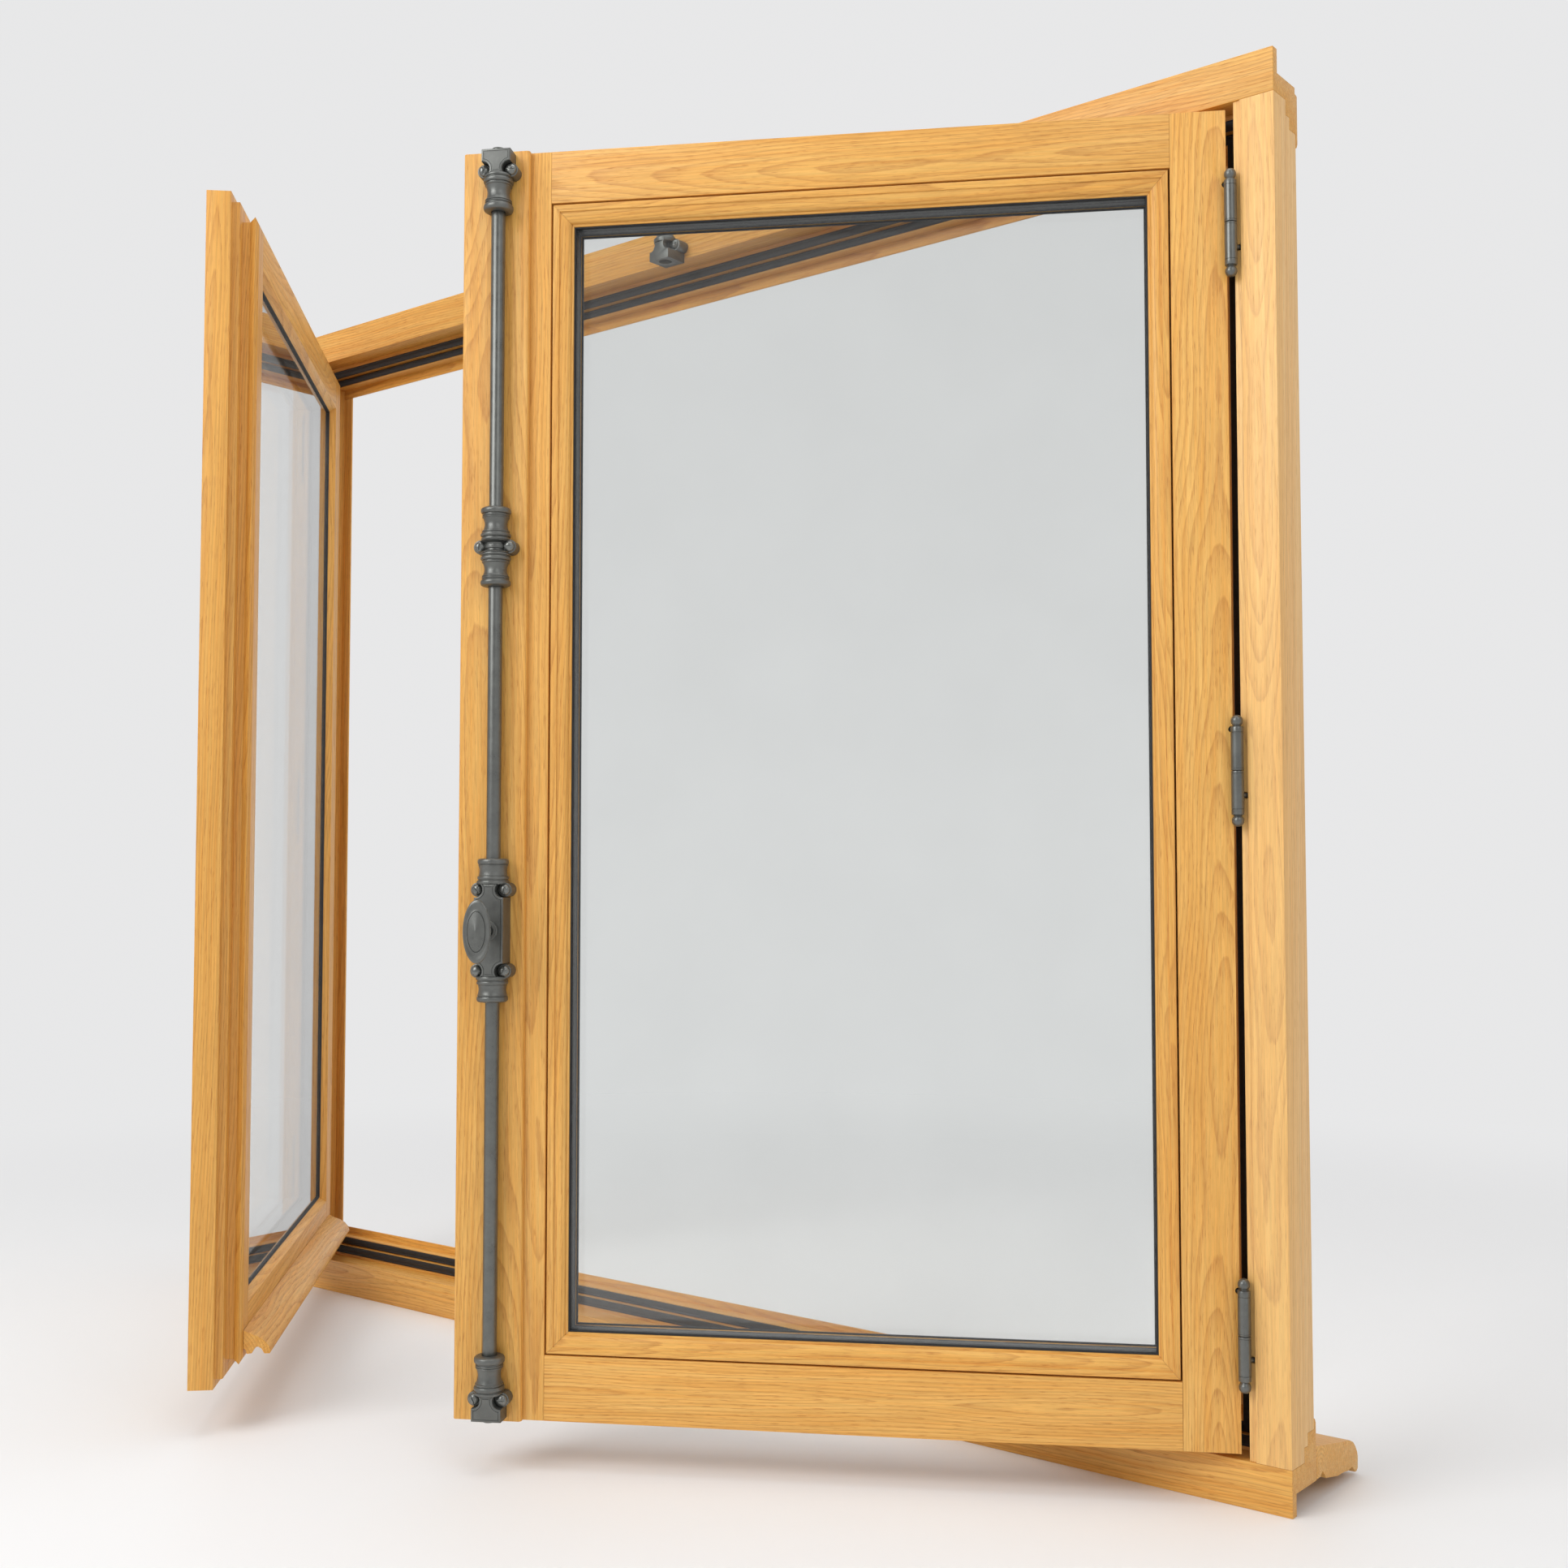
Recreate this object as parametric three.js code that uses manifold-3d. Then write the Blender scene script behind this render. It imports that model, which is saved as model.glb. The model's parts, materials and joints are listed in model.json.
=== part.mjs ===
// A double casement window: a rebated oak frame with a sill, two inward-opening glazed sashes on
// barrel hinges, and a surface cremone bolt with an oval knob. Millimetres, +Z up, +Y outdoors.
// The origin is the middle of the bottom rail's flat underside.
import * as THREE from 'three';
import { mergeVertices } from 'three/addons/utils/BufferGeometryUtils.js';
import Module from 'manifold-3d';

const wasm = await Module();
wasm.setup();

// ---- driving dimensions ----
const GAP = 0.3; // between pieces that touch

const FRAME_W = 1748;
const FRAME_H = 1509;
const FRAME_D = 58;
const LIP_TOP = 26.5; // cover lip above the head
const LIP_BOTTOM = 23; // cover lip below the bottom rail
const LIP_T = 11;
const HEAD_FACE = 22.35; // face height of the head below the body's top
const BOTTOM_FACE = 26.1;
const JAMB_FACE = 39.2;
const JAMB_STEP = 8; // small recessed step beside the jamb's face
const JAMB_STEP_D = 2;
const REBATE_1_D = 32.5; // depths of the two gasket steps
const REBATE_2_D = 41.5;
const REBATE_1_IN = 8.2; // how far the steps reach inside the sash edge
const REBATE_2_IN = 21.5;
const FIN_GAP = 0.8; // outdoor fin, behind the sash
const FIN_T = 5;
const FIN_IN = { top: 36.2, bottom: 32.2, side: 40.3 };

const SILL_RISE = 35.75; // top of the sill where it meets the frame
const SILL_OUT = 115.5; // how far it stands out from the frame's fin

const GAP_TOP = 8.6; // clearances round the sashes
const GAP_BOTTOM = 7.3;
const GAP_SIDE = 4;
const GAP_MEET = 4;
const MEET_OFF = 19.5; // the left sash's free edge lies this far left of the middle
const SASH_D = 58;
const HINGE_OUT = 3.6; // hinge axis outside the sash edge
const HINGE_FRONT = 7; // and in front of the sash face
const STILE_W = 60;
const STILE_MEET = 63; // joint of the meeting stiles, from the hinge-to-middle line
const RAIL_TOP = 60.3;
const RAIL_BOTTOM = 71.8;
const GROOVE = 1.9; // shadow line between sash and bead
const BEAD_HINGE = 22.2;
const BEAD_MEETING = 23.2;
const BEAD_TOP = 24.2;
const BEAD_BOTTOM = 22.9;
const LIP_IN_D = 46; // outdoor glazing lip starts at this depth
const LIP_BEVEL = 8.1;
const PANE_T = 3.8;
const PANE_1_D = 14;
const PANE_2_D = 42;
const PANE_EDGE = 2.4; // pane edge inside the rebate wall
const RIGHT_OPEN = 30.21; // degrees at rest
const LEFT_OPEN = 44.74;

const STRIP_W = 78.9;
const STRIP_T = 8.54;
const DRIP_OUT = 32.4;
const DRIP_Z = 33.1; // underside above the sash's lower edge
const DRIP_START = 46; // from the hinge axis
const DRIP_END = 30; // short of the free edge

const KNUCKLE_R = 6.7;
const KNUCKLE_L = 104;
const FINIAL_R = 6.9;
const PIN_R = 3.3;
const PIN_L = 35; // above the knuckles' joint
const PIN_CLEAR = 0.09;
const STUD_R = 3.4; // stud that screws the knuckle into the wood
const STUD_L = 27;
const HINGE_IN_TOP = 127.9; // outer hinges' middles from the sash's ends
const HINGE_IN_BOTTOM = 124.75;

const ROD_X = 6.2; // rod axis, right of the window's middle when shut
const ROD_R = 8;
const ROD_OFF = 11.16; // rod axis in front of the cover strip
const ROD_CLEAR = 0.4;
const STROKE = 20;
const TIP_IN_TOP = 1; // rod tips inside the sash's ends at rest
const TIP_IN_BOTTOM = 2.6;
const BLOCK_W = 34;
const BLOCK_H = 28;
const BLOCK_T = 23;
const BLOCK_IN = 5; // guide blocks from the sash's ends
const COLLAR_L = 43;
const COLLAR_R = 17;
const EAR_R = 8;
const EAR_X = 16;
const EAR_T = 15;
const MID_Z = 1015;
const MID_L = 91;
const BOX_Z = 580.6;
const BOX_W = 34;
const BOX_H = 103;
const BOX_T = 27.8;
const BOX_WALL = 4;
const BOX_COLLAR_L = 29;
const PINION_R = 20 / Math.PI; // half a turn moves the rods one stroke
const RACK_T = 3;
const RACK_W = 8;
const KNOB_H = 70;
const KNOB_W = 32;
const KNOB_OUT = 39.6; // rim in front of the box
const SPINDLE_R = 4;
const KEEPER_GAP = 2.8;
const KEEPER_BLOCK_H = 27;
const KEEPER_DOME_H = 14;
const KEEPER_FRONT = 13.5; // in front of the rod axis

// ---- derived places ----
const HALF_W = FRAME_W / 2;
const FACE_Y = -(FRAME_D + LIP_T) / 2;
const EDGE_SIDE = JAMB_FACE + JAMB_STEP + GAP_SIDE;
const EDGE_TOP = HEAD_FACE + GAP_TOP;
const EDGE_BOTTOM = BOTTOM_FACE + GAP_BOTTOM;
const SASH_Z0 = EDGE_BOTTOM;
const SASH_Z1 = FRAME_H - EDGE_TOP;
const HINGE_X = HALF_W - EDGE_SIDE + HINGE_OUT;
const HINGE_Y = FACE_Y - HINGE_FRONT;
const FACE_V = HINGE_FRONT;
const LEFT_EDGE = HINGE_X - MEET_OFF;
const RIGHT_EDGE = 2 * HINGE_X - LEFT_EDGE - GAP_MEET;
const JOINT_0 = HINGE_OUT + STILE_W;
const JOINT_1 = HINGE_X - STILE_MEET;
const JOINT_Z0 = SASH_Z0 + RAIL_BOTTOM;
const JOINT_Z1 = SASH_Z1 - RAIL_TOP;
const SIGHT = {
  u0: JOINT_0 + GROOVE + BEAD_HINGE,
  u1: JOINT_1 - GROOVE - BEAD_MEETING,
  z0: JOINT_Z0 + GROOVE + BEAD_BOTTOM,
  z1: JOINT_Z1 - GROOVE - BEAD_TOP,
};
const STRIP_BACK = FACE_V - GAP;
const STRIP_FRONT = STRIP_BACK - STRIP_T;
const ROD_U = HINGE_X - ROD_X;
const ROD_V = STRIP_FRONT - ROD_OFF;
const SEAT_V = STRIP_FRONT - GAP; // back of every fitting on the strip
const ROD_TOP = SASH_Z1 - TIP_IN_TOP;
const ROD_BOTTOM = SASH_Z0 + TIP_IN_BOTTOM;
const BORE_R = ROD_R + ROD_CLEAR;
const HINGE_TOP_Z = SASH_Z1 - HINGE_IN_TOP;
const HINGE_BOTTOM_Z = SASH_Z0 + HINGE_IN_BOTTOM;
const KNUCKLE_CENTRES = [HINGE_TOP_Z, (HINGE_TOP_Z + HINGE_BOTTOM_Z) / 2, HINGE_BOTTOM_Z];

// ---- materials ----
function material(colour, roughness, metalness) {
  return new THREE.MeshStandardMaterial({ color: colour, roughness, metalness });
}
const OAK = ['#d9a55f', 0.5, 0];
const IRON = ['#4a4b49', 0.5, 0.6];
const SEAL = ['#121212', 0.8, 0];
const SPACER = ['#414242', 0.45, 0.3];
const GLASS = ['#dfe7e4', 0.05, 0];

// ---- solids ----
function solid(geometry) {
  const bare = geometry.clone();
  for (const name of ['normal', 'uv']) {
    bare.deleteAttribute(name);
  }
  const merged = mergeVertices(bare, 1e-4);
  const p = merged.getAttribute('position').array;
  const index = Array.from(merged.index.array);
  const triangles = [];
  let volume = 0;
  for (let i = 0; i < index.length; i += 3) {
    const [a, b, c] = index.slice(i, i + 3);
    if (a === b || b === c || a === c) {
      continue;
    }
    triangles.push([a, b, c]);
    const [ax, ay, az] = p.slice(3 * a, 3 * a + 3);
    const [bx, by, bz] = p.slice(3 * b, 3 * b + 3);
    const [cx, cy, cz] = p.slice(3 * c, 3 * c + 3);
    volume += ax * (by * cz - bz * cy) + ay * (bz * cx - bx * cz) + az * (bx * cy - by * cx);
  }
  const turned = triangles.map(([a, b, c]) => (volume < 0 ? [a, c, b] : [a, b, c]));
  return new wasm.Manifold(
    new wasm.Mesh({
      numProp: 3,
      vertProperties: new Float32Array(p),
      triVerts: new Uint32Array(turned.flat()),
    }),
  );
}

function union(...parts) {
  return parts.reduce((a, b) => a.add(b));
}

function shapeOf(points, hole) {
  const line = points.map(([x, y]) => new THREE.Vector2(x, y));
  const shape = new THREE.Shape(THREE.ShapeUtils.isClockWise(line) ? line.reverse() : line);
  if (hole) {
    shape.holes.push(new THREE.Path(hole.map(([x, y]) => new THREE.Vector2(x, y))));
  }
  return shape;
}

function extrude(points, depth, hole) {
  return new THREE.ExtrudeGeometry(shapeOf(points, hole), {
    depth,
    bevelEnabled: false,
    curveSegments: 1,
  });
}

// sections in (x, y), (y, z) and (x, z), run between two values of the third axis
function alongZ(points, z0, z1) {
  return solid(extrude(points, z1 - z0).translate(0, 0, z0));
}

const TO_YZ = new THREE.Matrix4().makeBasis(
  new THREE.Vector3(0, 1, 0),
  new THREE.Vector3(0, 0, 1),
  new THREE.Vector3(1, 0, 0),
);
function alongX(points, x0, x1) {
  const [low, high] = [Math.min(x0, x1), Math.max(x0, x1)];
  return solid(extrude(points, high - low).applyMatrix4(TO_YZ).translate(low, 0, 0));
}

function alongY(points, y0, y1, hole) {
  return solid(extrude(points, y1 - y0, hole).rotateX(Math.PI / 2).translate(0, y1, 0));
}

function box(x0, x1, y0, y1, z0, z1) {
  const g = new THREE.BoxGeometry(Math.abs(x1 - x0), Math.abs(y1 - y0), Math.abs(z1 - z0));
  return solid(g.translate((x0 + x1) / 2, (y0 + y1) / 2, (z0 + z1) / 2));
}

// profiles of [radius, height], turned about a vertical or a front-to-back axis
function turnedZ(profile, x, y, segments = 20) {
  const g = new THREE.LatheGeometry(profile.map(([r, h]) => new THREE.Vector2(r, h)), segments);
  return solid(g.rotateX(Math.PI / 2).translate(x, y, 0));
}

function turnedY(profile, x, z, segments = 20) {
  const g = new THREE.LatheGeometry(profile.map(([r, h]) => new THREE.Vector2(r, h)), segments);
  return solid(g.translate(x, 0, z));
}

function rod(profileRadius, from, to, x, y, segments = 20) {
  return turnedZ([[0, from], [profileRadius, from], [profileRadius, to], [0, to]], x, y, segments);
}

function pegY(radius, from, to, x, z, segments = 16) {
  return turnedY([[0, from], [radius, from], [radius, to], [0, to]], x, z, segments);
}

// the outline moved outwards by a distance, corner by corner
function grown(points, by) {
  let area = 0;
  points.forEach(([x, y], i) => {
    const [nx, ny] = points[(i + 1) % points.length];
    area += x * ny - nx * y;
  });
  const sign = area > 0 ? 1 : -1;
  return points.map((here, i) => {
    const before = points[(i + points.length - 1) % points.length];
    const after = points[(i + 1) % points.length];
    const d1 = new THREE.Vector2(here[0] - before[0], here[1] - before[1]).normalize();
    const d2 = new THREE.Vector2(after[0] - here[0], after[1] - here[1]).normalize();
    const n1 = new THREE.Vector2(d1.y, -d1.x).multiplyScalar(sign);
    const n2 = new THREE.Vector2(d2.y, -d2.x).multiplyScalar(sign);
    const middle = n1.clone().add(n2);
    const k = by / (1 + n1.dot(n2));
    return [here[0] + middle.x * k, here[1] + middle.y * k];
  });
}

function place(group, name, body, [colour, roughness, metalness]) {
  const mesh = body.getMesh();
  const g = new THREE.BufferGeometry();
  g.setAttribute('position', new THREE.BufferAttribute(new Float32Array(mesh.vertProperties), 3));
  g.setIndex(new THREE.BufferAttribute(new Uint32Array(mesh.triVerts), 1));
  g.computeVertexNormals();
  const made = new THREE.Mesh(g, material(colour, roughness, metalness));
  made.name = name;
  group.add(made);
}

const casement = new THREE.Group();

// ---- frame: sections in (depth from the indoor face, height from the body's outside) ----
const FIN_D = FRAME_D + FIN_GAP;
const OUT_D = FIN_D + FIN_T;

function innerLine(edge, finIn, near) {
  const fin = edge + finIn;
  return [
    [OUT_D, fin - 5],
    [OUT_D - 2.5, fin],
    [FIN_D, fin],
    [FIN_D, edge + REBATE_2_IN],
    [REBATE_2_D, edge + REBATE_2_IN],
    [REBATE_2_D, edge + REBATE_1_IN],
    [REBATE_1_D, edge + REBATE_1_IN],
    ...near,
  ];
}

const HEAD_NEAR = [[REBATE_1_D, HEAD_FACE], [0, HEAD_FACE]];
const BOTTOM_NEAR = [[REBATE_1_D, BOTTOM_FACE], [0, BOTTOM_FACE]];
const JAMB_NEAR = [
  [REBATE_1_D, JAMB_FACE + JAMB_STEP],
  [JAMB_STEP_D, JAMB_FACE + JAMB_STEP],
  [JAMB_STEP_D, JAMB_FACE],
  [0, JAMB_FACE],
];
const HEAD_LINE = innerLine(EDGE_TOP, FIN_IN.top, HEAD_NEAR);
const BOTTOM_LINE = innerLine(EDGE_BOTTOM, FIN_IN.bottom, BOTTOM_NEAR);
const JAMB_LINE = innerLine(EDGE_SIDE, FIN_IN.side, JAMB_NEAR);

const HEAD_SECTION = [
  [0, -LIP_TOP],
  [LIP_T, -LIP_TOP],
  [LIP_T, 0],
  [FRAME_D, 0],
  [FRAME_D, 6.7],
  [OUT_D, 8.1],
  ...HEAD_LINE,
];
const BOTTOM_SECTION = [
  [0, -LIP_BOTTOM],
  [LIP_T, -LIP_BOTTOM],
  [LIP_T, 0],
  [OUT_D, 0],
  ...BOTTOM_LINE,
];
const JAMB_SECTION = [[0, 0], [FRAME_D, 0], [FRAME_D, 12], [OUT_D, 13.4], ...JAMB_LINE];

const fromTop = ([d, h]) => [FACE_Y + d, FRAME_H - h];
const fromBottom = ([d, h]) => [FACE_Y + d, h];
// what the rails take away from the jambs' ends
function railCut(line) {
  const far = [[OUT_D + 9, line[0][1]], ...line, [-9, line.at(-1)[1]], [-9, -60], [OUT_D + 9, -60]];
  return grown(far, GAP);
}

place(casement, 'frame_head', alongX(HEAD_SECTION.map(fromTop), -HALF_W, HALF_W), OAK);
place(casement, 'frame_bottom_rail', alongX(BOTTOM_SECTION.map(fromBottom), -HALF_W, HALF_W), OAK);

// studs lean into the wood on each side of the hinge axis
function stud(x, y, z, towardX, radius, length) {
  const g = new THREE.CylinderGeometry(radius, radius, length, 12);
  g.translate(0, length / 2, 0);
  g.rotateZ(towardX > 0 ? -Math.PI / 6 : Math.PI / 6);
  return solid(g.translate(x, y, z));
}
const LOWER_STUD = -26;
const UPPER_STUD = 45;

for (const side of [-1, 1]) {
  const section = JAMB_SECTION.map(([d, h]) => [side * (HALF_W - h), FACE_Y + d]);
  let jamb = alongZ(section, 0, FRAME_H)
    .subtract(alongX(railCut(HEAD_LINE).map(fromTop), -HALF_W - 9, HALF_W + 9))
    .subtract(alongX(railCut(BOTTOM_LINE).map(fromBottom), -HALF_W - 9, HALF_W + 9));
  for (const z of KNUCKLE_CENTRES) {
    jamb = jamb.subtract(
      stud(side * HINGE_X, HINGE_Y, z + LOWER_STUD, side, STUD_R + GAP, STUD_L + 1),
    );
  }
  place(casement, side < 0 ? 'frame_jamb_left' : 'frame_jamb_right', jamb, OAK);
}

// ---- sill: section in (y, z) behind the frame's fin ----
const SILL_Y = FACE_Y + OUT_D + GAP;
const SILL_SECTION = [
  [0, SILL_RISE],
  [SILL_OUT - 43.7, SILL_RISE - 12.8],
  [SILL_OUT - 23.6, SILL_RISE - 16],
  [SILL_OUT - 13, SILL_RISE - 20.4],
  [SILL_OUT - 6.6, SILL_RISE - 26.6],
  [SILL_OUT - 1.6, SILL_RISE - 34],
  [SILL_OUT, SILL_RISE - 39],
  [SILL_OUT - 0.6, SILL_RISE - 51.9],
  [SILL_OUT - 3.5, SILL_RISE - 54.2],
  [SILL_OUT - 7.7, SILL_RISE - 54.6],
  [SILL_OUT - 16.9, SILL_RISE - 46.5],
  [SILL_OUT - 29.6, SILL_RISE - 48],
  [SILL_OUT - 40.6, SILL_RISE - 46.4],
  [SILL_OUT - 57.6, SILL_RISE - 46.1],
  [25.1, SILL_RISE - 39.8],
  [16.5, SILL_RISE - 30.2],
  [9.8, SILL_RISE - 34.7],
  [0, SILL_RISE - 34.9],
].map(([y, z]) => [SILL_Y + y, z]);
place(casement, 'sill', alongX(SILL_SECTION, -HALF_W, HALF_W), OAK);

// ---- gaskets: rings on the two rebate steps ----
function rectangle(side, bottom, top) {
  const x = HALF_W - EDGE_SIDE - side;
  const [z0, z1] = [SASH_Z0 + bottom, SASH_Z1 - top];
  return [[-x, z0], [x, z0], [x, z1], [-x, z1]];
}
function gasket(name, step, outside, inside) {
  const y1 = FACE_Y + step - GAP;
  const outer = rectangle(outside, outside, outside);
  const inner = rectangle(inside, inside, inside);
  place(casement, name, alongY(outer, y1 - 2.3, y1, inner), SEAL);
}
gasket('seal_inner', REBATE_1_D, -2.4, 9.5);
gasket('seal_outer', REBATE_2_D, REBATE_1_IN + 1.8, REBATE_2_IN - 1);

// ---- hinges ----
function knuckle(up, z) {
  const half = KNUCKLE_L / 2;
  const rows = [
    [KNUCKLE_R, 0.25],
    [KNUCKLE_R, half - 2],
    [KNUCKLE_R - 1.2, half - 0.8],
    [KNUCKLE_R - 2.8, half],
    [FINIAL_R - 1.6, half + 1.6],
    [FINIAL_R - 1, half + 4],
    [FINIAL_R - 3.4, half + 7],
    [0, half + 8],
  ];
  const bore = PIN_R + PIN_CLEAR;
  const core = up
    ? [[0, PIN_L + 2], [bore, PIN_L + 1], [bore, 0.25]]
    : [[0, -PIN_L], [PIN_R - 0.8, -PIN_L], [PIN_R, 1 - PIN_L], [PIN_R, 0.25]];
  return [...core, ...rows].map(([r, h]) => [r, z + (up ? h : -h)]);
}

function hinge(group, side, index, sashSide) {
  const z = KNUCKLE_CENTRES[index];
  const where = ['top', 'middle', 'bottom'][index];
  const hand = side < 0 ? 'left' : 'right';
  const x = sashSide ? 0 : side * HINGE_X;
  const y = sashSide ? 0 : HINGE_Y;
  const offset = sashSide ? UPPER_STUD : LOWER_STUD;
  const toward = sashSide ? -side : side;
  const barrel = turnedZ(knuckle(sashSide, z), x, y, 16);
  const body = barrel.add(stud(x, y, z + offset, toward, STUD_R, STUD_L));
  const kind = sashSide ? 'sash' : 'frame';
  place(group, `hinge_${hand}_${where}_${kind}`, body, IRON);
}
for (const side of [-1, 1]) {
  KNUCKLE_CENTRES.forEach((z, i) => hinge(casement, side, i, false));
}

// ---- sashes ----
// outline of a profiled edge: [distance inside the sash edge, depth]
const EDGE_PROFILE = [
  [0, 0],
  [0, 29.5],
  [10, 29.5],
  [10, 38.5],
  [28.3, 38.5],
  [28.3, 47.5],
  [23, 54.5],
  [30, SASH_D],
];
const deep = ([s, t]) => [s, FACE_V + t];

function glazingLip(sight, joint) {
  const out = Math.sign(sight - joint);
  return [
    [sight - out * LIP_BEVEL, SASH_D],
    [sight, LIP_IN_D + 2],
    [sight, LIP_IN_D],
    [joint, LIP_IN_D],
    [joint, 0],
  ];
}

function sash(group, hand, openSide) {
  const free = hand === 'left' ? LEFT_EDGE : RIGHT_EDGE;
  const x = (u) => openSide * u;
  const name = (piece) => `${hand}_${piece}`;
  const sectionZ = (points) => points.map(deep).map(([u, v]) => [x(u), v]);

  // the profile round the sash's head and foot, cut on the stiles' ends
  const ends = [
    [SASH_Z0, -9],
    ...EDGE_PROFILE.slice(1).map(([s, t]) => [SASH_Z0 + s, t]),
    [SASH_Z0 + 30, SASH_D + 9],
    [SASH_Z1 - 30, SASH_D + 9],
    ...EDGE_PROFILE.slice(1).map(([s, t]) => [SASH_Z1 - s, t]).reverse(),
    [SASH_Z1, -9],
  ].map(([z, t]) => [FACE_V + t, z]);
  const trimmed = (body) => body.intersect(alongX(ends, x(-20), x(free + 60)));

  const hingeLine = [
    ...EDGE_PROFILE.map(([s, t]) => [HINGE_OUT + s, t]),
    ...glazingLip(SIGHT.u0, JOINT_0),
  ];
  let hingeStile = trimmed(alongZ(sectionZ(hingeLine), SASH_Z0 - 1, SASH_Z1 + 1));
  for (const z of KNUCKLE_CENTRES) {
    hingeStile = hingeStile.subtract(
      stud(0, 0, z + UPPER_STUD, openSide, STUD_R + GAP, STUD_L + 1),
    );
  }
  place(group, name('hinge_stile'), hingeStile, OAK);

  const freeProfile = hand === 'left' ? EDGE_PROFILE : [[0, 0], [0, SASH_D]];
  const meetingLine = [
    ...freeProfile.map(([s, t]) => [free - s, t]),
    ...glazingLip(SIGHT.u1, JOINT_1),
  ];
  const meeting = trimmed(alongZ(sectionZ(meetingLine), SASH_Z0 - 1, SASH_Z1 + 1));
  place(group, name('meeting_stile'), meeting, OAK);

  // the rails' outdoor lips stop at the stiles' lips
  const lipCut = (sight, from) => {
    const out = Math.sign(sight - from);
    const points = [
      [from, LIP_IN_D],
      [sight, LIP_IN_D],
      [sight, LIP_IN_D + 2],
      [sight - out * LIP_BEVEL, SASH_D],
      [sight - out * LIP_BEVEL, SASH_D + 9],
      [from, SASH_D + 9],
    ];
    return alongZ(grown(sectionZ(points), GAP), SASH_Z0 - 9, SASH_Z1 + 9);
  };
  const cuts = union(lipCut(SIGHT.u0, JOINT_0 - 9), lipCut(SIGHT.u1, JOINT_1 + 9));
  const rails = {
    bottom_rail: [
      ...EDGE_PROFILE.map(([s, t]) => [SASH_Z0 + s, t]),
      ...glazingLip(SIGHT.z0, JOINT_Z0),
    ],
    top_rail: [
      ...EDGE_PROFILE.map(([s, t]) => [SASH_Z1 - s, t]),
      ...glazingLip(SIGHT.z1, JOINT_Z1),
    ],
  };
  for (const [piece, line] of Object.entries(rails)) {
    const section = line.map(([z, t]) => [FACE_V + t, z]);
    const rail = alongX(section, x(JOINT_0 + GAP), x(JOINT_1 - GAP)).subtract(cuts);
    place(group, name(piece), rail, OAK);
  }

  // sealed unit
  const [u0, u1] = [JOINT_0 + PANE_EDGE, JOINT_1 - PANE_EDGE];
  const [z0, z1] = [JOINT_Z0 + PANE_EDGE, JOINT_Z1 - PANE_EDGE];
  const pane = (depth) => {
    const y = FACE_V + depth;
    return box(x(u0), x(u1), y, y + PANE_T, z0, z1);
  };
  place(group, name('pane_inner'), pane(PANE_1_D), GLASS);
  place(group, name('pane_outer'), pane(PANE_2_D), GLASS);
  const ring = (a, b, c, d) => [[x(a), c], [x(b), c], [x(b), d], [x(a), d]];
  const spacer = alongY(
    ring(u0 + 1, u1 - 1, z0 + 1, z1 - 1),
    FACE_V + PANE_1_D + PANE_T + GAP,
    FACE_V + PANE_2_D - GAP,
    ring(SIGHT.u0 - 0.4, SIGHT.u1 + 0.4, SIGHT.z0 - 0.4, SIGHT.z1 + 0.4),
  );
  place(group, name('spacer'), spacer, SPACER);

  // mitred glazing beads: [share of the width, depth]
  const BEAD = [
    [0, PANE_1_D - GAP],
    [0, 1],
    [0.05, 0.2],
    [0.36, 0.2],
    [0.4, 1.8],
    [0.58, 2.3],
    [0.8, 4.6],
    [0.95, 7.6],
    [1, 9.4],
    [1, PANE_1_D - GAP],
  ];
  const outer = {
    u0: JOINT_0 + GROOVE,
    u1: JOINT_1 - GROOVE,
    z0: JOINT_Z0 + GROOVE,
    z1: JOINT_Z1 - GROOVE,
  };
  const between = (key, share) => outer[key] + (SIGHT[key] - outer[key]) * share;
  const bead = (piece, across, alongFrom, alongTo, vertical) => {
    const g = extrude(BEAD, 1);
    const p = g.getAttribute('position');
    for (let i = 0; i < p.count; i += 1) {
      const [share, depth, end] = [p.getX(i), p.getY(i), p.getZ(i)];
      const a = between(across, share);
      const trim = GAP / 2;
      const b = end < 0.5 ? between(alongFrom, share) + trim : between(alongTo, share) - trim;
      const [u, z] = vertical ? [a, b] : [b, a];
      p.setXYZ(i, x(u), FACE_V + depth, z);
    }
    place(group, name(piece), solid(g), OAK);
  };
  bead('bead_hinge', 'u0', 'z0', 'z1', true);
  bead('bead_meeting', 'u1', 'z0', 'z1', true);
  bead('bead_bottom', 'z0', 'u0', 'u1', false);
  bead('bead_top', 'z1', 'u0', 'u1', false);

  // drip bar: section in (depth, height above the bar's underside)
  const DRIP = [
    [0, 28.6],
    [DRIP_OUT - 23.4, 23.9],
    [DRIP_OUT - 15.4, 21],
    [DRIP_OUT - 7.4, 15.8],
    [DRIP_OUT - 2.6, 10.1],
    [DRIP_OUT, 3.6],
    [DRIP_OUT - 0.9, 0],
    [DRIP_OUT - 7.8, 0.2],
    [DRIP_OUT - 11.2, 6.3],
    [DRIP_OUT - 15.2, 8.4],
    [DRIP_OUT - 18.4, 7.7],
    [DRIP_OUT - 22.2, 0.7],
    [4.3, 0],
    [2.6, 5.7],
    [0, 5.7],
  ].map(([v, z]) => [FACE_V + SASH_D + GAP + v, SASH_Z0 + DRIP_Z + z]);
  place(group, name('drip_bar'), alongX(DRIP, x(DRIP_START), x(free - DRIP_END)), OAK);

  KNUCKLE_CENTRES.forEach((z, i) => hinge(group, -openSide, i, true));
}

const leftSash = new THREE.Group();
leftSash.position.set(-HINGE_X, HINGE_Y, 0);
leftSash.rotation.z = -THREE.MathUtils.degToRad(LEFT_OPEN);
sash(leftSash, 'left', 1);
casement.add(leftSash);

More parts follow.
